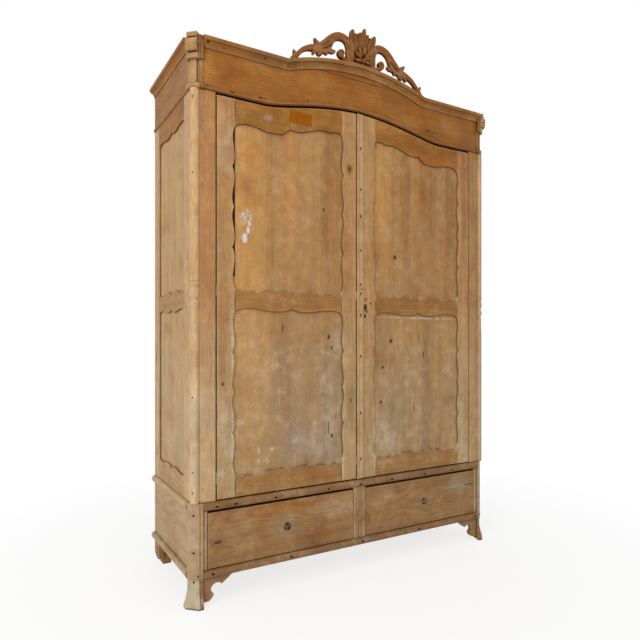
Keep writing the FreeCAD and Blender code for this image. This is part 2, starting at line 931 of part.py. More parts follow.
def crest_disc(y0, y1):
    """Round body of the arch that the crest stands on."""
    return rod(arch_radius, V(0, y0, arch_centre_z), V(0, 1, 0), y1 - y0)


crest_front = front - cornice_out + crest_setback
crest_back = crest_front + crest_thick


def crest_at(share):
    """Point on the crest's front face."""
    return V(crest_half * share[0], crest_front, z_arch + scroll_top * share[1])


def crest_scroll():
    """Right half of the openwork: great scroll, leaf, outer scroll and their gaps."""
    leaf = [crest_at(share) for share in crest_leaf_share]
    low = [crest_at(share) for share in crest_low_share]
    high = [crest_at(share) for share in crest_high_share]
    z_low = z_top - overrun
    shoulder = z_arch + palmette_shoulder
    edges = arcs(leaf) + [line(leaf[-1], low[0])] + arcs(low) + arcs(high)
    edges += chain([
        high[-1],
        V(scroll_inner, crest_front, shoulder),
        V(scroll_inner, crest_front, z_low),
        V(crest_half, crest_front, z_low),
        leaf[0],
    ])
    push = V(0, crest_thick, 0)
    board = pushed(edges, push)
    great = [crest_at(share) for share in great_opening_share]
    back_run = [crest_at(share) for share in great_return_share]
    cutters = [pushed(arcs(great) + arcs(back_run), push)]
    for gap in (middle_gap_share, outer_gap_share):
        points = [crest_at(share) for share in gap]
        cutters.append(pushed(arcs(points) + [line(points[-1], points[0])], push))
    cutters.append(crest_disc(crest_front - overrun, crest_back + overrun))
    centre = crest_at(volute_share) - V(0, volute_rise, 0)
    volute = rod(volute_radius, centre, V(0, 1, 0), volute_rise + crest_thick)
    return board.cut(cutters).fuse(volute).removeSplitter()


# Half outline of a leaf: share of its length from the foot, and share of its half width.
leaf_edge_share = [(0.16, 0.7), (0.5, 1), (0.84, 0.72)]


def leaf_relief_body(foot, tip, half_width):
    """Leaf with faceted edges that rises to a ridge in front of the board."""
    axis = tip - foot
    sideways = V(axis.z, 0, -axis.x).normalize() * half_width
    middle = foot + axis * 0.5

    def outline(size, y):
        right = [axis * (along - 0.5) + sideways * wide for along, wide in leaf_edge_share]
        left = [axis * (along - 0.5) - sideways * wide for along, wide in reversed(leaf_edge_share)]
        ring = [axis * -0.5] + right + [axis * 0.5] + left
        return [middle + point * size + V(0, y, 0) for point in ring]

    low = outline(1, 0)
    high = outline(leaf_ridge_share, -leaf_relief)
    rings = [low, high]
    rings += [[low[i - 1], low[i], high[i], high[i - 1]] for i in range(len(low))]
    faces = [Part.Face(Part.makePolygon(ring + ring[:1])) for ring in rings]
    return Part.makeSolid(Part.makeShell(faces))


def palmette():
    """Fan of ridged leaves on a board that stands on the arch between the scrolls."""
    y = crest_front
    height = crest_height
    push = V(0, crest_thick, 0)
    neck = block(-scroll_inner, scroll_inner, y, crest_back, z_top, z_arch + palmette_shoulder)
    neck = neck.cut(crest_disc(y - overrun, crest_back + overrun))
    right = [V(palmette_half * x, y, z_arch + height * z) for x, z in fan_share]
    left = [V(-point.x, y, point.z) for point in reversed(right[:-1])]
    fan = prism(right + left, push)
    leaves = []
    for foot_x, tip_x, foot_z, tip_z, wide in leaf_share:
        foot = V(palmette_half * foot_x, y, z_arch + height * foot_z)
        tip = V(palmette_half * tip_x, y, z_arch + height * tip_z)
        leaf = leaf_relief_body(foot, tip, palmette_half * wide)
        leaves.append(leaf)
        if tip_x:
            leaves.append(mirrored(leaf))
    return neck.fuse([fan] + leaves).removeSplitter()


def build_crest():
    """Two openwork scrolls and the palmette."""
    right = crest_scroll()
    save("crest_scrolls", right, mirrored(right))
    save("crest_palmette", palmette())


# Doors

strip_width = 28.0
strip_flat = 3.5
bead_radius = 4.5
lock_drop = 12.0
lock_z = (mid_rail_bottom + mid_rail_top) / 2 - lock_drop
lock_width = 66.0
lock_height = 80.0
lock_depth = 16.0
lock_wall = 2.0
lock_play = 0.2
bolt_length = 44.0
bolt_height = 22.0
bolt_thick = 8.0
bolt_throw = 12.0
bolt_back_play = 2.0
mortise_play = 1.5
keyhole_x = 27.0
keyhole_radius = 3.6
keyhole_slot = 4.0
keyhole_drop = 14.0


def door_roof(a):
    """Upper base line of the door's panel, parallel to the arched door head."""
    return head_line(a) - door_head_gap - top_rail_width


def door_pieces(inner_edge, inner_width):
    """Right-hand door between its meeting edge and the hinge edge."""
    stiles, rails, panels = frame_and_panels(
        inner_edge, door_edge_x, inner_width, stile_width,
        z_door + door_bottom_gap, z_crown + door_arch_rise, door_thick, door_roof, side_share, head_share,
    )
    keep = under_head(door_head_gap, front - overrun, front + door_thick + overrun)
    stiles = [moved(stile, 0, front, 0).common(keep) for stile in stiles]
    rails = [moved(rail, 0, front, 0).common(keep) for rail in rails]
    panels = [moved(panel, 0, front, 0) for panel in panels]
    return stiles, rails, panels


def pivot(z_end, up, play):
    """Pin on a let-in plate at one end of the door; play makes the recess."""
    radius = pivot_radius + play
    half_long = pivot_plate_long / 2 + play
    half_wide = pivot_plate_wide / 2 + play
    plate_z = z_end - up * (pivot_plate_thick + play)
    low = min(z_end, plate_z)
    high = max(z_end, plate_z)
    plate = block(
        pivot_x - half_wide, pivot_x + half_wide - play, pivot_y - half_wide, pivot_y + half_wide, low, high,
    )
    tail = block(
        pivot_x - half_long, pivot_x, pivot_y - half_wide, pivot_y + half_wide, low, high,
    )
    start = V(pivot_x, pivot_y, z_end - up * (pivot_embed + play))
    return plate.fuse([tail, rod(radius, start, V(0, 0, up), pivot_embed + play)]).removeSplitter()


def pivots():
    """Both pins of the right door with the ends that run in the case."""
    top_z = z_crown - door_head_gap
    low_z = z_door + door_bottom_gap
    top_pin = rod(pivot_radius, V(pivot_x, pivot_y, top_z), V(0, 0, 1), door_head_gap + pivot_reach)
    low_pin = rod(pivot_radius, V(pivot_x, pivot_y, low_z), V(0, 0, -1), door_bottom_gap + pivot_reach)
    top = pivot(top_z, 1, 0).fuse(top_pin).removeSplitter()
    low = pivot(low_z, -1, 0).fuse(low_pin).removeSplitter()
    return top, low


def pivot_recesses():
    """Room for both let-in plates and the set part of the pins."""
    return [
        pivot(z_crown - door_head_gap, 1, pivot_fit),
        pivot(z_door + door_bottom_gap, -1, pivot_fit),
    ]


def cover_strip(x0):
    """Beaded strip on the right door that hides the meeting line, nailed through its flat."""
    keep = under_head(door_head_gap, front - 2 * bead_radius, front)
    z0 = z_door + door_bottom_gap
    z1 = z_crown + door_arch_rise
    flat = block(x0, x0 + strip_width, front - strip_flat, front, z0, z1)
    bead = rod(bead_radius, V(x0 + bead_radius, front - strip_flat / 2, z0), V(0, 0, 1), z1 - z0)
    return flat.fuse(bead).removeSplitter().common(keep)


def lock_space(play):
    """Block that the lock takes up in the door's back, enlarged by play."""
    x0 = meeting_x + meeting_gap / 2
    y1 = front + door_thick
    z0 = lock_z - lock_height / 2 - play
    z1 = lock_z + lock_height / 2 + play
    return block(x0, x0 + lock_width + play, y1 - lock_depth - play, y1, z0, z1)


def bolt_block(x0, x1, play):
    """Block along the bolt's path, enlarged by play."""
    y0 = front + door_thick - lock_depth / 2 - bolt_thick / 2
    z0 = lock_z - bolt_height / 2 - play
    z1 = lock_z + bolt_height / 2 + play
    return block(x0, x1, y0 - play, y0 + bolt_thick + play, z0, z1)


def keyhole():
    """Round and slotted keyhole from the door's face into the lock."""
    y0 = front - overrun
    depth = overrun + door_thick - lock_depth + lock_wall
    eye = rod(keyhole_radius, V(keyhole_x, y0, lock_z), V(0, 1, 0), depth)
    half = keyhole_slot / 2
    slot = block(keyhole_x - half, keyhole_x + half, y0, y0 + depth, lock_z - keyhole_drop, lock_z)
    return eye.fuse(slot)


def lock_case():
    """Hollow lock case let into the back of the right door."""
    x0 = meeting_x + meeting_gap / 2
    x1 = x0 + lock_width
    y1 = front + door_thick
    y0 = y1 - lock_depth
    half = lock_height / 2
    wall = lock_wall
    hollow = block(
        x0 + wall, x1 - wall, y0 + wall, y1 - wall, lock_z - half + wall, lock_z + half - wall,
    )
    mouth = bolt_block(x0 - overrun, x0 + 2 * wall, lock_play)
    return lock_space(0).cut([hollow, mouth, keyhole()])


def lock_bolt():
    """Bolt of the lock, drawn back into the case."""
    x0 = meeting_x + meeting_gap / 2 + lock_play
    return bolt_block(x0, x0 + bolt_length, 0)


def bolt_mortise():
    """Pocket in the left door's meeting stile that receives the bolt."""
    x1 = meeting_x - meeting_gap / 2
    reach = bolt_throw + bolt_back_play
    return bolt_block(x1 - reach, x1 + overrun, mortise_play)


slide_x = -50.0
slide_rest_gap = 9.0
slide_length = 140.0
slide_low = head_line(slide_x) - slide_rest_gap - slide_length
slide_width = 12.0
slide_thick = 5.0
slide_play = 0.3
slide_plate = 2.0
slide_plate_width = 32.0
slide_plate_inset = 12.0
staple_wide = 24.0
staple_tall = 8.0
staple_wall = 3.0
knob_radius = 6.0
knob_length = 12.0


def slide_bolt():
    """Flat bolt on the left door that slips up behind the frieze, with a round knob."""
    y0 = front + door_thick + slide_plate + slide_play
    half = slide_width / 2
    z1 = slide_low + slide_length
    bar = block(slide_x - half, slide_x + half, y0, y0 + slide_thick, slide_low, z1)
    centre = V(slide_x, y0, slide_low + slide_length / 2)
    return bar.fuse(rod(knob_radius, centre, V(0, 1, 0), slide_thick + knob_length)).removeSplitter()


def slide_guide():
    """Plate with two staples that the flat bolt runs in."""
    y0 = front + door_thick
    half = slide_plate_width / 2
    z0 = slide_low + slide_plate_inset
    z1 = slide_low + slide_length - slide_plate_inset
    body = block(slide_x - half, slide_x + half, y0, y0 + slide_plate, z0, z1)
    y1 = y0 + slide_plate
    y2 = y1 + slide_thick + 2 * slide_play
    half = staple_wide / 2
    staples = []
    for z in (z0, z1 - staple_tall):
        staples.append(block(slide_x - half, slide_x + half, y1, y2 + staple_wall, z, z + staple_tall))
    half = slide_width / 2 + slide_play
    way = block(slide_x - half, slide_x + half, y1, y2, z0 - overrun, z1 + overrun)
    return body.fuse([staple.cut(way) for staple in staples]).removeSplitter()


def build_doors():
    """Both doors with their furniture."""
    right_edge = meeting_x + meeting_gap / 2
    left_edge = meeting_gap / 2 - meeting_x
    recesses = pivot_recesses()
    pins = pivots()

    stiles, rails, panels = door_pieces(right_edge, lock_stile_width)
    lock_stile = stiles[0].cut([lock_space(lock_play), keyhole()])
    save("right_door_stiles", lock_stile, stiles[1].cut(recesses))
    save("right_door_rails", *rails)
    save("right_door_panels", *panels)
    save("right_door_pivots", *pins)
    save("cover_strip", cover_strip(right_edge))
    save("lock_case", lock_case())
    save("lock_bolt", lock_bolt())

    stiles, rails, panels = door_pieces(left_edge, stile_width)
    meeting_stile = mirrored(stiles[0]).cut(bolt_mortise())
    save("left_door_stiles", meeting_stile, mirrored(stiles[1].cut(recesses)))
    save("left_door_rails", *[mirrored(rail) for rail in rails])
    save("left_door_panels", *[mirrored(panel) for panel in panels])
    save("left_door_pivots", *[mirrored(pin) for pin in pins])
    save("slide_bolt", slide_bolt())
    save("slide_bolt_guide", slide_guide())


# Drawers

drawer_side_gap = 2.0
drawer_top_gap = 8.0
drawer_front_thick = 22.0
drawer_front_rise = 2.0
drawer_run = 0.3
drawer_back_room = 42.0
drawer_length = case_depth - base_back_thick - drawer_back_room
drawer_side_thick = 12.0
drawer_side_drop = 8.0
drawer_bottom_thick = 8.0
drawer_bottom_rise = 8.0
drawer_groove = 5.0
tail_length = 14.0
tail_count = 3
tail_wide_share = 0.52
tail_neck_share = 0.4


def drawer_tails(x0, x1, y0, z0, z1):
    """Dovetails on a drawer side that are lapped by the front."""
    pitch = (z1 - z0) / tail_count
    tails = []
    for i in range(tail_count):
        mid = z0 + pitch * (i + 0.5)
        wide = pitch * tail_wide_share / 2
        neck = pitch * tail_neck_share / 2
        points = [
            V(x0, y0, mid - neck),
            V(x0, y0 - tail_length, mid - wide),
            V(x0, y0 - tail_length, mid + wide),
            V(x0, y0, mid + neck),
        ]
        tails.append(prism(points, V(x1 - x0, 0, 0)))
    return tails


def drawer():
    """Right drawer: lapped front, dovetailed sides, back and a bottom in grooves."""
    x0 = centre_stile_half + drawer_side_gap
    x1 = face_x - base_stile_width - drawer_side_gap
    y1 = front + drawer_front_thick
    y2 = front + drawer_length
    z0 = z_drawer + drawer_run
    z1 = z_waist - drawer_top_gap
    side_top = z1 - drawer_side_drop
    t = drawer_side_thick
    face = block(x0, x1, front, y1, z_drawer + drawer_front_rise, z1)
    tail_low = z_drawer + drawer_front_rise
    tails_0 = drawer_tails(x0, x0 + t, y1, tail_low, side_top)
    tails_1 = drawer_tails(x1 - t, x1, y1, tail_low, side_top)
    bottom_z = z0 + drawer_bottom_rise
    groove = drawer_groove
    bottom = block(
        x0 + t - groove, x1 - t + groove, y1 - groove, y2 - t, bottom_z, bottom_z + drawer_bottom_thick,
    )
    side_0 = block(x0, x0 + t, y1, y2, z0, side_top).fuse(tails_0).removeSplitter().cut(bottom)
    side_1 = block(x1 - t, x1, y1, y2, z0, side_top).fuse(tails_1).removeSplitter().cut(bottom)
    rear = block(x0 + t, x1 - t, y2 - t, y2, bottom_z, side_top - drawer_side_drop)
    face = face.cut(tails_0 + tails_1 + [bottom])
    return face, (side_0, side_1, rear, bottom)


def build_drawers():
    """Both drawers."""
    face, box = drawer()
    save("right_drawer_front", face)
    save("right_drawer_box", *box)
    save("left_drawer_front", mirrored(face))
    save("left_drawer_box", *[mirrored(piece) for piece in box])


def main():
    """Build every sub-part into the folder parts."""
    os.makedirs("parts", exist_ok=True)
    build_base()
    build_case()
    build_crown()
    build_crest()
    build_doors()
    build_drawers()


main()
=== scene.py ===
import math

import bpy
import bmesh
import numpy as np
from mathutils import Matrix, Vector
from mathutils.bvhtree import BVHTree


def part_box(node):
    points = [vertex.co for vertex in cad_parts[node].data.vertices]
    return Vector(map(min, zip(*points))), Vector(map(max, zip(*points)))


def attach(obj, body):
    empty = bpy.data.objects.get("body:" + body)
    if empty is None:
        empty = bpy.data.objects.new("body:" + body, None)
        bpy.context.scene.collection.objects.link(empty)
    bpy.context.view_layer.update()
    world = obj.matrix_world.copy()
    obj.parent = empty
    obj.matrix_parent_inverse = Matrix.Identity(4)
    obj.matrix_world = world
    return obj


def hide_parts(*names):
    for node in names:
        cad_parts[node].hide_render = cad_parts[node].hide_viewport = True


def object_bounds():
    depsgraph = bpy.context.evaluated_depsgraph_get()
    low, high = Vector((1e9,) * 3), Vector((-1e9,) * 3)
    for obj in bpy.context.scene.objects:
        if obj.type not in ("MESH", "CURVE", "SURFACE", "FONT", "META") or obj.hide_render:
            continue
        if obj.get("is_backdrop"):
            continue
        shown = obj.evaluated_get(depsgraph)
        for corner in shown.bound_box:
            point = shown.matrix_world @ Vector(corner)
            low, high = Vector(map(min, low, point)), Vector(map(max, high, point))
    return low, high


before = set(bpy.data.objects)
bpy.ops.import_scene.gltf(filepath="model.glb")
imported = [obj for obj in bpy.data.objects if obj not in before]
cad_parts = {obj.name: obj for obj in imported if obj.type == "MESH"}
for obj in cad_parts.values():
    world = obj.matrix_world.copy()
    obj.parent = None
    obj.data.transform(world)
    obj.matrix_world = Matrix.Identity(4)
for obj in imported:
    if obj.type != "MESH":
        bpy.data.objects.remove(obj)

bl_info = {
    "name": "Stripped pine wardrobe",
    "version": (1, 0, 0),
    "blender": (4, 5, 0),
    "location": "3D View > Sidebar > Wardrobe",
    "description": "Dresses the joined model of a two-door pine wardrobe with a carved crest",
    "category": "Object",
}

# The model stands on the floor with its front towards -Y. Meshes are in metres, wood patterns in mm.
MM = 0.001


# Small helpers

def linear(code):
    """Linear colour with alpha from an sRGB hex code."""
    parts = [int(code[i:i + 2], 16) / 255 for i in (0, 2, 4)]
    curve = [c / 12.92 if c <= 0.04045 else ((c + 0.055) / 1.055) ** 2.4 for c in parts]
    return (*curve, 1.0)


def seed_of(name):
    """Whole number that always comes out the same for a name."""
    return sum((i + 1) * ord(letter) for i, letter in enumerate(name)) % 99991


def add(tree, kind, feeds=(), out=0, **settings):
    """Add a shader node, set its properties, fill or link its inputs, and return one output.

    Feeds are values or outputs, either for the first inputs in order or by the input's key.
    """
    node = tree.nodes.new("ShaderNode" + kind)
    for name, value in settings.items():
        setattr(node, name, value)
    for key, value in feeds.items() if isinstance(feeds, dict) else enumerate(feeds):
        if isinstance(value, bpy.types.NodeSocket):
            tree.links.new(value, node.inputs[key])
        else:
            node.inputs[key].default_value = value
    return node.outputs[out]


def emptied(owner):
    """Node tree of a material or a world, switched on and empty."""
    owner.use_nodes = True
    owner.node_tree.nodes.clear()
    return owner.node_tree


def put_out(tree, kind, shader):
    """Link a shader to a new output node for a material or a world."""
    output = tree.nodes.new("ShaderNodeOutput" + kind)
    tree.links.new(shader, output.inputs["Surface"])


# Nails seen from the front as (x, z) in mm, and those on the canted corners as heights.
WAIST_NAILS = [(x, 333) for x in (-588, -520, -368, -149, -3, 150, 321, 476)]
BASE_NAILS = [(x, 110) for x in (-648, -602, -307, 7, 290, 609, 655)]
STRIP_NAILS = [(4, z) for z in (1640, 1480, 1376, 1243, 1110, 1074, 990, 830, 610, 430)]
CORNER_NAILS = (309, 185, 88)
COLUMN_NAILS = (1697, 1446, 702, 453, 386)

# Wood

# Marks on the front as (x, z, half width, half height) in mm, all in the closed position.
DOOR_KNOTS = [
    (-159, 1383, 4, 9), (179, 1228, 8, 9), (-136, 904, 6, 9), (-123, 863, 5, 6), (-123, 529, 5, 8),
    (159, 888, 8, 9), (117, 782, 6, 6), (108, 643, 6, 7),
]
DOOR_CRACKS = [
    (280, 612, 2, 22), (330, 831, 2, 16), (-331, 935, 2, 15), (-137, 560, 1.6, 26),
    (306, 900, 1.6, 20),
]
STILE_KNOTS = [(-47, 1552, 6, 7), (-40, 660, 3, 8), (-562, 742, 5, 6)]
DRAWER_KNOTS = [(-579, 208, 13, 5)]
DRAWER_CRACKS = [(590, 255, 32, 2)]
LOCK_MARKS = [
    (28, 1019, 8, 15), (29, 1051, 3, 7), (26, 986, 5, 8), (53, 1036, 4, 4), (17, 1000, 3, 4),
    (36, 1003, 3, 6),
]
DOOR_JOINTS = [
    (x, z, 1.4, half) for x, top in ((-517, 1684), (-83.5, 1722), (78.5, 1726), (517, 1680))
    for z, half in ((top, 40), (1022, 38), (389, 40))
]
PLUG_MARKS = [
    (-308, 209, 6, 7), (-317, 229, 8, 4), (-327, 209, 4, 4), (324, 206, 7, 3), (343, 208, 3, 6),
    (323, 225, 5, 5),
]
STRIP_MARKS = [(x, z - 3, 3.5, 7) for x, z in STRIP_NAILS] + [(8, 1091, 5, 7), (9, 1074, 3, 3)]
RAIL_MARKS = [(x + 4, z - 1, 5, 2.5) for x, z in WAIST_NAILS + BASE_NAILS]
CORNICE_MARKS = [(-618, 1883, 4, 3), (-408, 1882, 3, 3), (-560, 1879, 2.5, 2.5)]
FRIEZE_MARKS = [
    (-616, 1743, 4, 3), (-529, 1739, 9, 4), (-421, 1744, 9, 3.5), (-403, 1746, 3, 2),
    (-230, 1776, 5, 2), (350, 1774, 8, 3), (374, 1768, 4, 2.5), (395, 1772, 4, 2.5),
    (0, 1902, 232, 1.6),
]

# Stains as (x, z, half width, half height, colour, share): single boards and washes.
PANEL_STAINS = [
    # Left door: golden board, dark glue line, lilac washes at the right and the foot
    (-455, 720, 70, 400, "c0996a", 0.7), (-318, 730, 22, 330, "98785a", 0.6),
    (-118, 640, 42, 280, "a58c74", 0.7), (-225, 500, 110, 75, "a58c74", 0.6),
    (-275, 610, 45, 160, "a08468", 0.5), (-462, 1400, 66, 360, "c09a66", 0.6),
    (-385, 1380, 14, 330, "96703e", 0.35), (-300, 1480, 30, 200, "b68a52", 0.5),
    (-125, 1510, 46, 230, "987040", 0.5),
    # Right door: pale first board, brown streaks, grey wash at the foot
    (112, 1480, 44, 300, "bf9a62", 0.7), (232, 1500, 24, 250, "94693a", 0.5),
    (300, 1400, 20, 200, "b08a55", 0.5), (352, 1560, 50, 190, "946a3a", 0.6),
    (478, 1500, 34, 210, "8f6d46", 0.6), (104, 840, 34, 170, "957654", 0.5),
    (150, 560, 66, 150, "a58e74", 0.6), (345, 640, 24, 300, "886c50", 0.6),
    (415, 690, 40, 200, "9c7850", 0.5), (470, 860, 30, 120, "a98a62", 0.5),
]
FRAME_STAINS = [
    # Darker uprights and the ringed knot of the meeting stile
    (-560, 900, 16, 200, "a4784a", 0.6), (-552, 1440, 16, 160, "b08a58", 0.5),
    (430, 1640, 110, 70, "ad8050", 0.7), (250, 1680, 120, 50, "a5733e", 0.5),
    (-47, 1552, 14, 20, "7d5c38", 0.8), (555, 1500, 14, 260, "9d7448", 0.6),
    (-40, 660, 26, 60, "987548", 0.6), (-60, 1200, 20, 160, "a87f50", 0.5),
    (40, 620, 30, 240, "a5825a", 0.5),
]
FRIEZE_STAINS = [
    (-520, 1800, 60, 40, "8a5520", 0.5), (-610, 1780, 24, 60, "a97436", 0.6),
    (-420, 1850, 90, 24, "a66c2c", 0.7), (-330, 1770, 50, 30, "8c5622", 0.5),
    (-200, 1850, 80, 30, "a8702f", 0.6), (-80, 1880, 70, 26, "8d531c", 0.6),
    (60, 1830, 90, 24, "a36a2b", 0.6), (180, 1870, 60, 30, "87501c", 0.6),
    (260, 1790, 60, 30, "a06a30", 0.6), (380, 1760, 70, 30, "875422", 0.6),
    (480, 1800, 60, 30, "9d6c38", 0.7), (580, 1760, 40, 60, "8a5a2c", 0.6),
]
DRAWER_STAINS = [
    (-330, 286, 130, 22, "98642a", 0.7), (-240, 292, 60, 10, "7c5024", 0.5),
    (-110, 262, 90, 34, "a88a6c", 0.7), (-420, 215, 40, 40, "8a6336", 0.6),
    (-200, 170, 70, 26, "845c30", 0.6), (400, 285, 60, 16, "8e6434", 0.6),
    (-560, 250, 70, 40, "a5825a", 0.5), (-579, 208, 34, 12, "7a5838", 0.6),
    (-316, 218, 44, 36, "8d7863", 0.5), (331, 216, 40, 32, "86705c", 0.5),
    (160, 250, 90, 40, "a08260", 0.5), (520, 260, 80, 30, "9a8870", 0.6),
    (480, 190, 90, 34, "94714a", 0.5), (90, 170, 70, 40, "8b6a45", 0.5),
]
CORNICE_STAINS = [
    (-520, 1885, 90, 40, "8c5c2a", 0.7), (-370, 1885, 80, 40, "86592c", 0.8),
    (-230, 1905, 60, 30, "96703f", 0.5), (30, 1935, 90, 30, "a87638", 0.5),
    (460, 1885, 120, 30, "8c5f30", 0.6),
]
BASE_STAINS = [(0, 217, 24, 130, "94734e", 0.9)]
PLUG_STAINS = [(-316, 218, 18, 18, "4a3420", 0.6)]

# Chalky residue as (x, z, half width, half height, share).
PANEL_CHALK = [
    (-426, 503, 5, 12, 0.6), (-374, 505, 11, 8, 0.6), (-427, 462, 5, 9, 0.55),
    (-391, 466, 8, 12, 0.6), (-150, 640, 26, 190, 0.25), (-240, 505, 80, 50, 0.25),
    (130, 500, 50, 70, 0.3), (340, 560, 20, 120, 0.15), (300, 984, 200, 4, 0.6),
    (-60, 900, 60, 90, 0.2),
]
FRAME_CHALK = [
    (-526, 880, 6, 130, 0.5), (-526, 520, 6, 110, 0.55), (-560, 560, 16, 140, 0.35),
    (-76, 420, 5, 70, 0.55), (74, 560, 6, 160, 0.75), (530, 540, 20, 130, 0.4),
    (-550, 1540, 24, 60, 0.4), (-393, 1680, 24, 10, 0.25), (20, 1400, 9, 200, 0.2),
]

# Shift in mm that takes a place away from every mark
FAR_ASIDE = 50000

# Distance of the corner pieces' arris from the middle plane, in mm
LIP_EDGE = 644

# Splash of white paint, painted shade of the open gap beside the shrunken panel, patch of shellac and
# curly figure, in mm
PAINT_BLOTS = [(-479, 1246, 9, 17), (-466, 1278, 6, 12), (-461, 1300, 4, 10)]
PAINT_SMEAR = (-473, 1322, 22, 24)
PANEL_GAP_SHADE = (-540, -515, 1110, 1660)
SHELLAC_PATCH = (-307, -214, 1681, 1726)
CURL_AREA = (-500, -150, 470, 960)
CURL_MIDDLE = -318
CURL_PITCH = 18

# Heights of the sills under the door panels, in mm
SILLS = (424, 1062)

# Heights in mm from which uprights and level members turn to their lower colour, down to the second
STOREY = (1180, 620)
LEVEL_STOREY = (1500, 700)

# Reach of the dirt and painted shade in corners and of the wear and painted highlights at edges, in
# metres
DIRT_AND_SHADE_REACH = 14 * MM
WEAR_AND_HIGHLIGHT_REACH = 5 * MM

# Shift of the wood from one glued board to the next, across at most and along at most, half width of
# a glue line, wandering of the pith and swelling of the rings at a knot, in mm
BOARD_SHIFT = (60, 900)
GLUE_LINE = 2.2
PITH_WANDER = (150, 170, 0)
KNOT_SWELL = 20

# Cells per mm that may hold a worm hole; distance and slant of the scratches' strokes
WORM_FINENESS = 0.014
SCRATCH_PITCH = 13
SCRATCH_SLANT = -0.55

# Colours of the late wood, of what lies on the wood or shows in it, and of painted shade and highlights
LATE_WOOD = "b98452"
OLD_FINISH = "d6a878"
BLEACHED = "bda88d"
FLECKS = "d9cab0"
CRUMBS = "d8cebd"
WASH = "c6b7a6"
SCRATCHED = "cdb591"
KNOT = "452a16"
HOLE = "24140a"
GLUE_AND_SEAM_SHADE = "4a2e18"
PAINT = "d6d9e0"
GAP_SHADE = "120a05"
SHELLAC = "944c00"
DIRT_AND_SHADE = "42230a"
SILL_CHALK = "cfc2ae"
RUBBED_AND_HIGHLIGHT = "c6a67c"
SAWN_STAIN_AND_SHADE = "35261a"

# Patches of pale scratches across the grain as (x, z, half width, half height) in mm
SCRATCHES = [
    (-330, 385, 60, 30), (-393, 1674, 34, 15), (120, 385, 34, 26), (210, 380, 40, 26),
    (330, 1036, 60, 22), (-300, 1040, 60, 18),
]

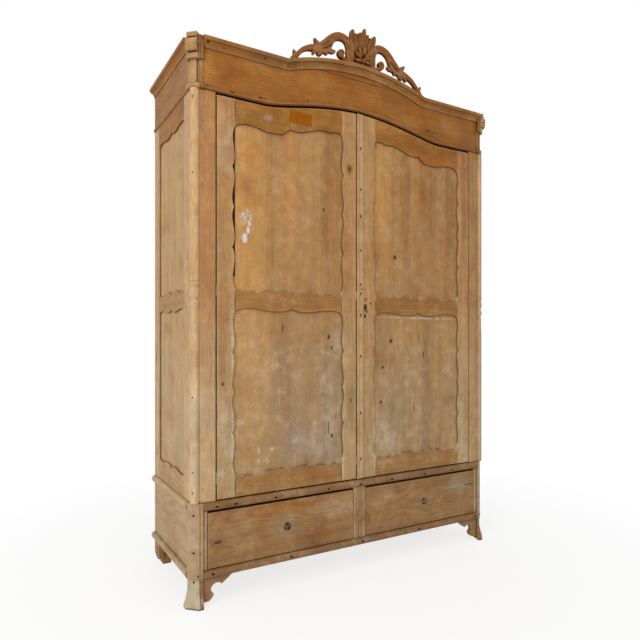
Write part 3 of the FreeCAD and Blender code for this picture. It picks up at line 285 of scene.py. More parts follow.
# Stripped and waxed pine, piece by piece. The colours body and low are those of the upper and the
# bleached lower storey, rail and rail_low the same for level members, and lip that of a corner piece in
# the front plane. A board is the width of one glued board in mm. Shares from 0 up: figure of the rings,
# chalk of the residue, grime of dirt and painted shade in corners, rub of worn edges and painted
# highlights, worm of holes, sawn of dark stain and painted shade on sawn edges.
WOODS = {
    # Plain-sawn panel boards, oiled to a honey colour and chalky where the stripper dried
    "door panel pine, stripped": dict(
        body="aa8152", low="a88a64", board=205, figure=0.13, chalk=0.5,
        knots=DOOR_KNOTS, cracks=DOOR_CRACKS, stains=PANEL_STAINS, chalks=PANEL_CHALK, sills=SILLS,
        damage=True,
    ),
    # Frame of the doors, whose rails have kept more of the old orange shellac
    "door frame pine, shellac worn": dict(
        body="b2885a", low="b3966f", rail="9b6829", rail_low="9e7344", figure=0.12, chalk=0.45,
        grime_and_shade=1, worm=0.15, knots=STILE_KNOTS, cracks=DOOR_JOINTS, holes=LOCK_MARKS,
        stains=FRAME_STAINS, chalks=FRAME_CHALK, scratches=SCRATCHES, sills=SILLS, patch=True,
    ),
    # Beaded strip with black drips of rust below its nails, and a pale stripe along its bead that is a
    # painted highlight
    "cover strip pine, stripped": dict(
        body="b2885a", low="b3966f", figure=0.12, chalk=0.45, holes=STRIP_MARKS,
        # The pale stripe along the bead is a painted highlight
        stains=[(-16, 1040, 5, 720, "c9ad8e", 0.6)],
    ),
    # Uprights beside the doors
    "face frame pine, stripped": dict(body="ab7b4c", low="bd9d7a", figure=0.16, chalk=0.3, worm=0.2),
    "face frame pine, right": dict(body="a57f52", low="b18e68", figure=0.16, chalk=0.3, worm=0.2),
    # Frames and panels of the two sides, whose paler, greyer colour is painted light of the cool window
    # light on the left side
    "side frame pine, painted window light": dict(
        body="b79670", low="bba17f", rail="926535", rail_low="ab8d64", chalk=0.35, grime_and_shade=0.9,
    ),
    "side panel pine, painted window light": dict(
        body="b5936a", low="b49874", board=212, figure=0.2, knots=[(0, 1550, 9, 9)],
    ),
    # Frieze and its arched field, still dark with shellac
    "frieze pine, shellac kept": dict(
        body="965f20", figure=0.2, chalk=0.1, grime_and_shade=1, rub_and_highlight=0.3, worm=0.4, holes=FRIEZE_MARKS,
        stains=FRIEZE_STAINS,
    ),
    "crown side pine, shellac worn": dict(body="9b7045", figure=0.2, chalk=0.25, rub_and_highlight=0.4),
    # Planed cornice mouldings, rubbed on their edges, with a faint painted highlight there
    "cornice pine, moulded and worn": dict(
        body="9d6c33", figure=0.2, grime_and_shade=1.1, rub_and_highlight=0.1, worm=0.6, holes=CORNICE_MARKS,
        stains=CORNICE_STAINS,
    ),
    # Turned half columns and the blocks above them
    "column pine, turned": dict(body="c4a076", low="bea687", worm=0.3),
    "capital pine, carved": dict(body="a58054", grime_and_shade=1, rub_and_highlight=0.25, lip="905a1e"),
    # Carved crest with dark stain and painted shade in its hollows and on its sawn edges
    "crest pine, carved and stained": dict(body="8b5521", chalk=0.1, grime_and_shade=1.1, rub_and_highlight=0.25, sawn=0.75),
    # Base: chalky corners and sides, darker rails and drawer fronts
    "base corner pine, bleached": dict(body="a89074", chalk=0.5, worm=0.4, rub_and_highlight=0.4, lip="b59c7a"),
    "base side pine, bleached": dict(
        body="b39876", figure=0.2, chalk=0.45, worm=0.2, stains=BASE_STAINS,
    ),
    "base moulding pine, worn": dict(body="8d6946", chalk=0.35, holes=RAIL_MARKS),
    "drawer front pine, planed": dict(
        body="977249", figure=0.22, chalk=0.2, knots=DRAWER_KNOTS, cracks=DRAWER_CRACKS,
        stains=DRAWER_STAINS,
    ),
    "bracket pine, sawn": dict(body="94714c"),
    "foot pine, sawn and limed": dict(body="b9ac9a", chalk=0.9, rub_and_highlight=0.4, lip="94714c"),
    # Round plugs that fill the old handle holes
    "plug pine, end grain": dict(
        body="735840", figure=0.3, chalk=0.2, grime_and_shade=0.5, rub_and_highlight=0, holes=PLUG_MARKS, stains=PLUG_STAINS,
    ),
    # Bare inner boards and drawer boxes, never finished
    "inner pine, unfinished": dict(body="b08f63", board=140, figure=0.3, chalk=0.2),
}


# Parts of the wood's pattern

def step(tree, value, low, high, top=1.0):
    """Smooth rise from zero at low to top at high."""
    return add(
        tree, "MapRange",
        {"Value": value, "From Min": low, "From Max": high, "To Min": 0, "To Max": top},
        interpolation_type="SMOOTHSTEP",
    )


def spread(tree, value, least, most):
    """Noise value turned into a factor between least and most."""
    return add(
        tree, "MapRange",
        {"Value": value, "From Min": 0.28, "From Max": 0.72, "To Min": least, "To Max": most},
    )


def product(tree, *factors):
    """Product of several values."""
    total = factors[0]
    for factor in factors[1:]:
        total = add(tree, "Math", (total, factor), operation="MULTIPLY")
    return total


def gather(tree, masks):
    """Largest of several masks."""
    total = masks[0]
    for mask in masks[1:]:
        total = add(tree, "Math", (total, mask), operation="MAXIMUM")
    return total


def shifted(tree, value, by, reach):
    """A value moved by another one times a reach."""
    return add(tree, "Math", (by, reach, value), operation="MULTIPLY_ADD")


def apart(tree, value, middle=0.0):
    """Distance of a value from a middle one."""
    gap = add(tree, "Math", (value, middle), operation="SUBTRACT")
    return add(tree, "Math", (gap,), operation="ABSOLUTE")


def waves(tree, value, pitch):
    """Sine of a length in mm whose crests stand a pitch apart."""
    turn = product(tree, value, math.tau / pitch)
    return add(tree, "Math", (turn,), operation="SINE")


def scaled(tree, vector, factors):
    """Vector with each part multiplied by its own factor."""
    return add(tree, "VectorMath", (vector, factors), operation="MULTIPLY")


def drifted(tree, vector, cloud, reach):
    """Vector moved by a cloudy colour less one half, times a reach for each part."""
    off = add(tree, "VectorMath", (cloud, (0.5, 0.5, 0.5)), operation="SUBTRACT")
    return add(tree, "VectorMath", (off, reach, vector), operation="MULTIPLY_ADD")


def clouds(tree, vector, fineness, detail, rough=0.55, out=0):
    """Cloudy value (or colour, output 1) with a fineness in clouds per mm, alike or for each axis."""
    if not isinstance(fineness, tuple):
        fineness = (fineness,) * 3
    return add(
        tree, "TexNoise",
        {"Vector": scaled(tree, vector, fineness), "Scale": 1, "Detail": detail, "Roughness": rough},
        out,
    )


def mixed(tree, share, a, b, how="MIX"):
    """Colour a turned towards colour b by a share."""
    return add(
        tree, "Mix", {0: share, 6: a, 7: b}, 2, data_type="RGBA", blend_type=how, clamp_result=True,
    )


def ellipse(tree, place, mark, soft=0.35):
    """Mask that is one inside an ellipse on the front plane and fades at its edge."""
    x, z, wide, high = mark
    moved = add(tree, "VectorMath", (place, (x, 0, z)), operation="SUBTRACT")
    shrunk = scaled(tree, moved, (1 / wide, 0, 1 / high))
    away = add(tree, "VectorMath", (shrunk,), 1, operation="LENGTH")
    return step(tree, away, 1 + soft, 1 - soft)


def rectangle(tree, place, edges, soft=3):
    """Mask that is one inside (x0, x1, z0, z1) on the front plane and fades at its edge."""
    masks = []
    for part, low, high in ((0, *edges[:2]), (2, *edges[2:])):
        off = apart(tree, add(tree, "SeparateXYZ", (place,), part), (low + high) / 2)
        half = (high - low) / 2
        masks.append(step(tree, off, half + soft, half - soft))
    return product(tree, *masks)


def glued_boards(tree, spot, tone, width):
    """Panel split into boards: shifted place on each, tone of each, and mask of the glue lines."""
    share = add(tree, "Math", (add(tree, "SeparateXYZ", (spot,)), width), operation="DIVIDE")
    count = add(tree, "Math", (share,), operation="FLOOR")
    across = add(tree, "Math", (share,), operation="FRACT")
    joint = step(tree, apart(tree, across, 0.5), 0.5 - GLUE_LINE / width, 0.5, 0.16)
    seed = add(tree, "Math", (count, tone), operation="ADD")
    chance = add(tree, "TexWhiteNoise", {"W": seed}, noise_dimensions="1D")
    sideways = shifted(tree, product(tree, count, -width), chance, BOARD_SHIFT[0])
    shift = add(tree, "CombineXYZ", {0: sideways, 2: product(tree, chance, BOARD_SHIFT[1])})
    return add(tree, "VectorMath", (spot, shift), operation="ADD"), chance, joint


def growth_rings(tree, spot, place, knots):
    """Late wood of the rings, on the board's own place.

    The pith wanders along the trunk, which closes the rings into arches, and they swing round the
    knots. Each ring darkens slowly and ends sharply. They are drawn wider than real ones to be seen.
    """
    wander = clouds(tree, spot, (0.004, 0.004, 0.0016), 2, out=1)
    trunk = drifted(tree, spot, wander, PITH_WANDER)
    radius = add(tree, "VectorMath", (scaled(tree, trunk, (1, 1, 0)),), 1, operation="LENGTH")
    for x, z, wide, high in knots:
        swell = ellipse(tree, place, (x, z, wide * 4, high * 5), 0.95)
        radius = shifted(tree, radius, swell, KNOT_SWELL)
    spacing = bpy.context.scene.wardrobe.ring_spacing / MM
    turn = add(tree, "Math", (radius, spacing), operation="DIVIDE")
    turn = add(tree, "Math", (turn,), operation="FRACT")
    return product(tree, step(tree, turn, 0.3, 0.9), step(tree, turn, 1.0, 0.9))


def curly_figure(tree, place):
    """Herringbone of pale curls across the lower left panel, rising to its middle line."""
    x = add(tree, "SeparateXYZ", (place,))
    z = add(tree, "SeparateXYZ", (place,), 2)
    height = add(tree, "Math", (apart(tree, x, CURL_MIDDLE), z), operation="ADD")
    bent = shifted(tree, height, clouds(tree, place, 0.02, 3), 60)
    patches = step(tree, clouds(tree, place, 0.017, 3), 0.44, 0.62)
    inside = rectangle(tree, place, CURL_AREA, 40)
    return product(tree, waves(tree, bent, CURL_PITCH), patches, inside, 0.09)


def stained(tree, colour, place, stains, body):
    """Colour tinted by stains, whose outlines follow streaks of the wood, with the grain kept."""
    cloud = clouds(tree, place, (0.03, 0.03, 0.004), 5, 0.65, 1)
    for *mark, code, share in stains:
        # Wider stains are torn further, up to a limit
        reach = 0.9 * min(mark[2] * 1.4, 60)
        bent = drifted(tree, place, cloud, (reach, 0, reach * 2))
        mask = product(tree, ellipse(tree, bent, mark, 0.6), share)
        tint = [a / b for a, b in zip(linear(code)[:3], linear(body)[:3])]
        colour = mixed(tree, mask, colour, scaled(tree, colour, tint))
    return colour


def chalked(tree, colour, place, specks, mottle, chalks):
    """Colour with crumbs of chalky residue, or with a thin cloudy wash where the share is low."""
    crumbs = (step(tree, specks, 0.36, 0.62), linear(CRUMBS))
    wash = (step(tree, mottle, 0.3, 0.66), linear(WASH))
    for *mark, share in chalks:
        pattern, tint = crumbs if share >= 0.5 else wash
        mask = product(tree, ellipse(tree, place, mark, 0.7), share, pattern)
        colour = mixed(tree, mask, colour, tint)
    return colour


def worm_holes(tree, place, share):
    """Mask of small round flight holes, of which a share is open, scattered over any upright face."""
    x, y, z = [add(tree, "SeparateXYZ", (place,), part) for part in range(3)]
    flat = add(tree, "CombineXYZ", (add(tree, "Math", (x, y), operation="ADD"), z))
    cell = {"Vector": flat, "Scale": WORM_FINENESS}
    away = add(tree, "TexVoronoi", cell, voronoi_dimensions="2D")
    chance = add(tree, "TexVoronoi", cell, 1, voronoi_dimensions="2D")
    opened = step(tree, add(tree, "SeparateXYZ", (chance,)), 1 - share, 1.01 - share)
    return product(tree, step(tree, away, 0.03, 0.018), opened)


def scratch_marks(tree, place, patches):
    """Mask of slanting pale strokes inside patches."""
    x = add(tree, "SeparateXYZ", (place,))
    z = add(tree, "SeparateXYZ", (place,), 2)
    along = shifted(tree, x, z, SCRATCH_SLANT)
    bent = shifted(tree, along, clouds(tree, place, 0.03, 3), 40)
    strokes = step(tree, waves(tree, bent, SCRATCH_PITCH), 0.35, 1)
    inside = gather(tree, [ellipse(tree, place, patch, 0.8) for patch in patches])
    broken = step(tree, clouds(tree, place, 0.07, 3), 0.42, 0.6)
    return product(tree, strokes, inside, broken)


def splashed(tree, colour, place, marked, speck):
    """Colour with a splash of white paint, and the painted shade of the open gap that the shrunken
    panel has left.
    """
    torn = drifted(tree, marked, clouds(tree, place, 0.12, 4, 0.7, 1), (30, 0, 30))
    blots = gather(tree, [ellipse(tree, torn, blot, 0.3) for blot in PAINT_BLOTS])
    smear = product(tree, ellipse(tree, torn, PAINT_SMEAR, 0.5), step(tree, speck, 0.42, 0.6, 0.5))
    paint = gather(tree, [step(tree, blots, 0, 1, 0.9), smear])
    colour = mixed(tree, paint, colour, linear(PAINT))
    return mixed(tree, rectangle(tree, marked, PANEL_GAP_SHADE, 1), colour, linear(GAP_SHADE))


def lipped(tree, colour, place, lip):
    """Corner piece whose narrow lip in the front plane looks like its neighbour, and the painted shade
    of a groove along its seam.
    """
    side = apart(tree, add(tree, "SeparateXYZ", (place,)))
    colour = mixed(tree, step(tree, side, LIP_EDGE + 1, LIP_EDGE - 1), colour, linear(lip))
    return colour, step(tree, apart(tree, side, LIP_EDGE), 2.6, 1.4, 0.55)


def pine(name, body, low=None, rail=None, rail_low=None, board=0, figure=0.14, chalk=0.4, grime_and_shade=0.7,
         rub_and_highlight=0.75, worm=0, sawn=0, lip=None, knots=(), cracks=(), holes=(), stains=(), chalks=(),
         scratches=(), damage=False, patch=False, sills=()):
    """Stripped pine: growth rings cut by the board, fibres, stains, chalk, dirt and painted shade in
    the corners, and worn edges with painted highlights.
    """
    low = low or body
    rail = rail or body
    rail_low = rail_low or (low if rail == body else rail)
    material = bpy.data.materials.new(name)
    tree = emptied(material)

    # Places: on the object, and on the board with the grain along its third axis
    place = add(tree, "TexCoord", out=3)
    place = add(tree, "VectorMath", {0: place, "Scale": 1 / MM}, operation="SCALE")
    spot = add(tree, "Attribute", out=1, attribute_name="board")
    spot = add(tree, "VectorMath", {0: spot, "Scale": 1 / MM}, operation="SCALE")
    tone = add(tree, "Attribute", out=2, attribute_name="tone")
    level = add(tree, "Attribute", out=2, attribute_name="level")
    height = add(tree, "SeparateXYZ", (place,), 2)
    if board:
        spot, tone, joint = glued_boards(tree, spot, tone, board)

    # Marks are drawn on the front: for faces that look backwards their place is moved far aside
    facing = add(tree, "SeparateXYZ", (add(tree, "TexCoord", out=1),), 1)
    aside = add(tree, "CombineXYZ", (step(tree, facing, 0.3, 0.6, FAR_ASIDE),))
    marked = add(tree, "VectorMath", (place, aside), operation="ADD")

    # Rings, then fibres, streaks and clouds from the finest to the broadest
    rings = growth_rings(tree, spot, place, knots)
    fine = clouds(tree, spot, (0.55, 0.55, 0.012), 4)
    coarse = clouds(tree, spot, (0.028, 0.028, 0.0016), 3)
    streak = clouds(tree, spot, (0.13, 0.13, 0.011), 4, 0.65)
    speck = clouds(tree, place, 0.11, 4, 0.7)
    mottle = clouds(tree, place, 0.028, 5, 0.62)
    cloud = clouds(tree, place, 0.008, 5, 0.62)
    hue = clouds(tree, place, (0.013, 0.013, 0.007), 5, 0.65)

    # Colour of the storey and of level members, then hue, streaks and fibres
    storey = step(tree, height, *STOREY)
    upright_colour = mixed(tree, storey, linear(body), linear(low))
    level_storey = step(tree, height, *LEVEL_STOREY)
    level_colour = mixed(tree, level_storey, linear(rail), linear(rail_low))
    colour = mixed(tree, level, upright_colour, level_colour)
    seam_shade = 0.0
    if lip:
        colour, seam_shade = lipped(tree, colour, place, lip)
    swing = add(
        tree, "Mix", {0: step(tree, hue, 0.3, 0.7), 4: (1.05, 1.01, 0.86), 5: (0.96, 0.98, 1.0)}, 1,
        data_type="VECTOR",
    )
    colour = mixed(tree, 1.0, colour, swing, "MULTIPLY")
    light = product(
        tree,
        spread(tree, coarse, 0.88, 1.12), spread(tree, fine, 0.93, 1.07),
        spread(tree, streak, 0.87, 1.13), spread(tree, tone, 0.96, 1.04),
        spread(tree, mottle, 0.87, 1.13),
    )
    if damage:
        light = add(tree, "Math", (light, curly_figure(tree, place)), operation="ADD")
    colour = mixed(tree, 1.0, colour, light, "MULTIPLY")
    weight = product(tree, rings, spread(tree, cloud, 0.4 * figure, 1.6 * figure))
    colour = mixed(tree, weight, colour, mixed(tree, 1.0, colour, linear(LATE_WOOD), "MULTIPLY"))

    # Remains of old finish, bleached clouds and chalky flecks
    old = step(tree, cloud, 0.52, 0.72, 0.4)
    colour = mixed(tree, old, colour, mixed(tree, 1.0, colour, linear(OLD_FINISH), "MULTIPLY"))
    bleached = product(
        tree, step(tree, mottle, 0.46, 0.72, chalk), spread(tree, storey, 0.45, 1.15),
        step(tree, cloud, 0.56, 0.4),
    )
    colour = mixed(tree, bleached, colour, linear(BLEACHED))
    flecks = product(tree, step(tree, speck, 0.6, 0.7, chalk), step(tree, cloud, 0.52, 0.4))
    colour = mixed(tree, flecks, colour, linear(FLECKS))

    # Stains and scratches, then knots, cracks, holes, glue lines, and on corner pieces the painted
    # shade of the seam
    if stains:
        colour = stained(tree, colour, marked, stains, low)
    if chalks:
        colour = chalked(tree, colour, marked, speck, mottle, chalks)
    if scratches:
        pale = product(tree, scratch_marks(tree, marked, scratches), 0.35)
        colour = mixed(tree, pale, colour, linear(SCRATCHED))
    if knots:
        eyes = gather(tree, [ellipse(tree, marked, knot, 0.4) for knot in knots])
        colour = mixed(tree, step(tree, eyes, 0, 1, 0.88), colour, linear(KNOT))
    dark = [ellipse(tree, marked, mark, 0.3) for mark in (*cracks, *holes)]
    if worm:
        dark.append(worm_holes(tree, place, worm))
    sunk = 0.0
    if dark:
        sunk = step(tree, gather(tree, dark), 0, 1, 0.9)
        colour = mixed(tree, sunk, colour, linear(HOLE))
    colour = mixed(tree, joint if board else seam_shade, colour, linear(GLUE_AND_SEAM_SHADE))
    if damage:
        colour = splashed(tree, colour, place, marked, speck)
    if patch:
        kept = rectangle(tree, marked, SHELLAC_PATCH, 2)
        sunk = gather(tree, [sunk, kept])
        colour = mixed(tree, kept, colour, mixed(tree, 0.3, linear(SHELLAC), colour))

    # Dirt and painted shade where faces meet, but chalk along the sills of the door panels
    hollow = add(tree, "AmbientOcclusion", {"Distance": DIRT_AND_SHADE_REACH}, 1, samples=6)
    dirt_and_shade = step(tree, hollow, 0.92, 0.4, grime_and_shade * bpy.context.scene.wardrobe.grime_and_shade)
    soil_and_shade = linear(DIRT_AND_SHADE)
    if sills:
        near = gather(tree, [step(tree, apart(tree, height, z), 22, 14) for z in sills])
        soil_and_shade = mixed(tree, product(tree, near, step(tree, mottle, 0.36, 0.6)), soil_and_shade, linear(SILL_CHALK))
    colour = mixed(tree, dirt_and_shade, colour, soil_and_shade)

    # Edges rubbed pale by hands and scrapers, and lightened further as painted highlights
    edge = add(tree, "AmbientOcclusion", {"Distance": WEAR_AND_HIGHLIGHT_REACH}, 1, samples=6, inside=True)
    rubbed_and_highlit = product(tree, step(tree, edge, 0.8, 0.35, rub_and_highlight), spread(tree, mottle, 0.5, 1.0))
    colour = mixed(tree, rubbed_and_highlit, colour, linear(RUBBED_AND_HIGHLIGHT))

    # Old dark stain on sawn edges together with painted shade: faces that look away from the front are
    # darkened
    if sawn:
        edge_stain_and_shade = step(tree, apart(tree, facing), 0.7, 0.15, sawn)
        colour = mixed(tree, edge_stain_and_shade, colour, linear(SAWN_STAIN_AND_SHADE))

    # Surface: dry wax, deeper in the early wood, without shine in the dirt and painted shade and in
    # holes
    dull = add(tree, "Math", (1, gather(tree, [dirt_and_shade, sunk])), operation="SUBTRACT")
    relief = add(tree, "Math", (rings, fine, product(tree, mottle, 1.2)), operation="MULTIPLY_ADD")
    bump = add(tree, "Bump", {"Strength": 0.5, "Distance": 0.4 * MM, "Height": relief})
    shader = add(
        tree, "BsdfPrincipled",
        {"Base Color": colour, "Roughness": spread(tree, mottle, 0.52, 0.72), "Normal": bump,
         "Specular IOR Level": product(tree, dull, 0.3)},
    )
    put_out(tree, "Material", shader)
    return material


NAIL_FINISH = "iron, black rusted nails"


def iron(name, bare="4a4642", rusted="4d2c1a", shine=0.9, gloss=0.5):
    """Forged iron, dull grey, with brown rust in patches that takes its shine."""
    material = bpy.data.materials.new(name)
    tree = emptied(material)
    place = add(tree, "TexCoord", out=3)
    rust = add(tree, "TexNoise", {"Vector": place, "Scale": 160, "Detail": 5})
    rust_share = step(tree, rust, 0.42, 0.62)
    colour = mixed(tree, rust_share, linear(bare), linear(rusted))
    metal = add(tree, "MapRange", {"Value": rust_share, "To Min": shine, "To Max": 0.1})
    rough = add(tree, "MapRange", {"Value": rust, "To Min": 0.35, "To Max": 0.8})
    bump = add(tree, "Bump", {"Strength": 0.4, "Distance": 0.2 * MM, "Height": rust})
    shader = add(
        tree, "BsdfPrincipled",
        {"Base Color": colour, "Metallic": metal, "Roughness": rough, "Normal": bump,
         "Specular IOR Level": gloss},
    )
    put_out(tree, "Material", shader)
    return material


def finish_of(name):
    """The named finish, built on first use."""
    found = bpy.data.materials.get(name)
    if found:
        return found
    if name in WOODS:
        return pine(name, **WOODS[name])
    if name == NAIL_FINISH:
        return iron(name, "1e120a", "140a05", 0.1, 0.1)
    return iron(name)


# Boards with worn edges

# Corners nearer than this are one, faces that meet flatter are made one, sharper edges are rounded
WELD = 0.01 * MM
FLAT_ANGLE = math.radians(0.6)
SHARP_ANGLE = math.radians(34)


def solids_of(triangles, count):
    """Label of the closed solid that each triangle belongs to, through edges with two faces."""
    edges = np.sort(triangles[:, [[0, 1], [1, 2], [2, 0]]].reshape(-1, 2), axis=1)
    keys = edges[:, 0].astype(np.int64) * count + edges[:, 1]
    owner = np.repeat(np.arange(len(triangles)), 3)
    order = np.argsort(keys, kind="stable")
    keys = keys[order]
    owner = owner[order]
    starts = np.flatnonzero(np.r_[True, keys[1:] != keys[:-1]])
    sizes = np.diff(np.r_[starts, len(keys)])
    pairs = starts[sizes == 2]
    a = owner[pairs]
    b = owner[pairs + 1]
    labels = np.arange(len(triangles))
    while True:
        least = np.minimum(labels[a], labels[b])
        fresh = labels.copy()
        np.minimum.at(fresh, a, least)
        np.minimum.at(fresh, b, least)
        fresh = fresh[fresh]
        if np.array_equal(fresh, labels):
            return labels
        labels = fresh


def triangles_of(node):
    """Corners and triangles of a joined-model mesh, with coincident corners made one."""
    mesh = node.data
    spots = np.empty(len(mesh.vertices) * 3)
    mesh.vertices.foreach_get("co", spots)
    spots = spots.reshape(-1, 3)
    mesh.calc_loop_triangles()
    corners = np.empty(len(mesh.loop_triangles) * 3, dtype=np.int32)
    mesh.loop_triangles.foreach_get("vertices", corners)
    rounded = np.round(spots / WELD).astype(np.int64)
    first, back = np.unique(rounded, axis=0, return_index=True, return_inverse=True)[1:]
    triangles = back.reshape(-1)[corners].reshape(-1, 3)
    good = (triangles[:, 0] != triangles[:, 1]) & (triangles[:, 1] != triangles[:, 2])
    good &= triangles[:, 0] != triangles[:, 2]
    return spots[first], triangles[good]


def mark_boards(mesh, places, tones, levels):
    """Store for each vertex the place on the board, the tone and the level that the wood reads."""
    rows = (("board", "FLOAT_VECTOR", "vector", places), ("tone", "FLOAT", "value", tones),
            ("level", "FLOAT", "value", levels))
    for name, kind, field, values in rows:
        mesh.attributes.new(name, kind, "POINT").data.foreach_set(field, values.ravel())


def placed(name, mesh, body, finish):
    """Object with a smooth mesh in its finish, on its body and in its material slot."""
    mesh.polygons.foreach_set("use_smooth", [True] * len(mesh.polygons))
    mesh.materials.append(finish_of(finish))
    piece = bpy.data.objects.new(name, mesh)
    bpy.context.scene.collection.objects.link(piece)
    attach(piece, body)
    return piece


def board_places(spots, labels, seed):
    """Place on the board (across, through, along), tone and level of each vertex of each solid.

    An offset in metres says where in the trunk each board was cut. A board whose longest side is
    upright has level 0, any other 1.
    """
    chance = np.random.RandomState(seed)
    places = np.zeros((len(spots), 3), dtype=np.float32)
    tones = np.zeros(len(spots), dtype=np.float32)
    levels = np.zeros(len(spots), dtype=np.float32)
    for label in np.unique(labels):
        mine = labels == label
        own = spots[mine]
        low = own.min(axis=0)
        size = own.max(axis=0) - low
        through, across, along = np.argsort(size, kind="stable")
        offset = chance.uniform(-0.09, 0.09, 3) + [0, 0.05, chance.uniform(0, 3)]
        middle = low + size / 2
        own = own - middle
        places[mine] = own[:, [across, through, along]] + offset
        tones[mine] = chance.uniform(0, 1)
        levels[mine] = 0.0 if along == 2 else 1.0
    return places, tones, levels


def soften(name, body, finish, edge):
    """Make a copy of one sub-part with worn edges, whose boards have their own grain directions."""
    spots, triangles = triangles_of(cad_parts[name])
    labels = solids_of(triangles, len(spots))
    keys = labels[:, None].astype(np.int64) * len(spots) + triangles
    unique, inverse = np.unique(keys, return_inverse=True)
    own_spots = spots[unique % len(spots)]
    own_labels = unique // len(spots)
    faces = inverse.reshape(-1, 3)
    mesh = bpy.data.meshes.new(name + "_worn")
    mesh.from_pydata(own_spots.tolist(), [], faces.tolist())
    mark_boards(mesh, *board_places(own_spots, own_labels, seed_of(name)))
    shape = bmesh.new()
    shape.from_mesh(mesh)
    bmesh.ops.dissolve_limit(
        shape, angle_limit=FLAT_ANGLE, use_dissolve_boundaries=False,
        verts=shape.verts, edges=shape.edges,
    )
    shape.to_mesh(mesh)
    shape.free()
    copy = placed(name + "_worn", mesh, body, finish)
    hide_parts(name)
    bevel = copy.modifiers.new("worn edges", "BEVEL")
    bevel.width = edge
    bevel.segments = 2
    bevel.limit_method = "ANGLE"
    bevel.angle_limit = SHARP_ANGLE
    bevel.harden_normals = True
    bevel.use_clamp_overlap = True


# Carved work

def smooth_path(points, count):
    """Even samples of a curve that bends smoothly through rows of numbers (Catmull-Rom)."""
    rows = np.asarray(points, dtype=float)
    padded = np.vstack([2 * rows[0] - rows[1], rows, 2 * rows[-1] - rows[-2]])
    # The last sample stays just short of the last row, so that four rows always surround it
    along = np.linspace(0, len(rows) - 1.000001, count)
    index = along.astype(int)
    t = (along - index)[:, None]
    a, b, c, d = (padded[index + k] for k in range(4))
    return 0.5 * (2 * b + (c - a) * t + (2 * a - 5 * b + 4 * c - d) * t ** 2
                  + (3 * b - a - 3 * c + d) * t ** 3)


def swollen(values, power):
    """Values raised to a power, with their signs kept."""
    return np.sign(values) * np.abs(values) ** power


def tube_faces(count, sides):
    """Quads between each ring of vertices and the next, and a cap at either end."""
    ring = np.arange(sides)
    ahead = (ring + 1) % sides
    base = (np.arange(count - 1) * sides)[:, None]
    quads = np.stack([base + ring, base + ahead, base + sides + ahead, base + sides + ring], axis=2)
    caps = [tuple(ring[::-1]), tuple((count - 1) * sides + ring)]
    return [tuple(quad) for quad in quads.reshape(-1, 4)] + caps


def carved_band(rows, depth, groove, count=40, sides=16):
    """Band of leaf or scroll along a path in the plane of the crest, both ends closed.

    Rows are x, forward, z and width in mm. Round the path each ring is a swollen oval: width times
    the cosine sideways and depth times the sine forwards, less a groove along the middle of its
    front. Both shrink towards the ends of the path.
    """
    path = smooth_path(rows, count)
    tangent = np.gradient(path[:, [0, 2]], axis=0)
    tangent /= np.linalg.norm(tangent, axis=1)[:, None] + 1e-9
    across = np.stack([-tangent[:, 1], tangent[:, 0]], axis=1)
    turn = np.linspace(0, math.tau, sides, endpoint=False)
    ends = np.clip(np.minimum(np.arange(count), np.arange(count)[::-1]) / 2.5, 0, 1) ** 0.5
    wide = np.maximum(path[:, 3], 0.2) * 0.5 * ends
    deep = depth * 0.5 * ends * np.clip(path[:, 3] / 10, 0.35, 1)
    side = swollen(np.cos(turn), 0.8)
    front = swollen(np.sin(turn), 0.7)
    dip = np.where(front > 0, groove * np.exp(-(side / 0.45) ** 2), 0)
    x = path[:, 0, None] + across[:, 0, None] * wide[:, None] * side
    z = path[:, 2, None] + across[:, 1, None] * wide[:, None] * side
    y = -path[:, 1, None] - deep[:, None] * (front - dip)
    spots = np.stack([x, y, z], axis=2).reshape(-1, 3)
    return spots, tube_faces(count, sides)


def both_sides(parts):
    """Parts and their mirror images across the middle plane."""
    return parts + [(spots * [-1, 1, 1], [face[::-1] for face in faces]) for spots, faces in parts]


def merged_object(name, parts, body, finish, origin=(0, 0, 0)):
    """One object from many closed parts given in mm from an origin in metres."""
    spots = np.vstack([part[0] for part in parts]) * MM + np.asarray(origin)
    faces = []
    start = 0
    for part_spots, part_faces in parts:
        faces += [tuple(int(i) + start for i in face) for face in part_faces]
        start += len(part_spots)
    mesh = bpy.data.meshes.new(name)
    mesh.from_pydata(spots.tolist(), [], faces)
    places = spots[:, [2, 1, 0]].astype(np.float32)
    mark_boards(mesh, places, np.full(len(spots), 0.5, np.float32), np.zeros(len(spots), np.float32))
    shape = bmesh.new()
    shape.from_mesh(mesh)
    bmesh.ops.recalc_face_normals(shape, faces=shape.faces)
    shape.to_mesh(mesh)
    shape.free()
    return placed(name, mesh, body, finish)


def spiral(centre, start, finish, first, last, width, tail, forward=0.0):
    """Rows of a curl that winds in round a centre, after the rows of a stem that leads to it.

    The angle runs from start to finish in degrees, the radius from the first to the last, and the
    width shrinks by a third.
    """
    turns = np.linspace(0, 1, 14)
    angle = np.radians(start + (finish - start) * turns)
    radius = first + (last - first) * turns ** 0.8
    rows = list(tail)
    for a, r, t in zip(angle, radius, turns):
        rows.append((centre[0] + r * math.cos(a), forward + 3 * t, centre[1] + r * math.sin(a),
                     width * (1 - 0.35 * t)))
    return rows


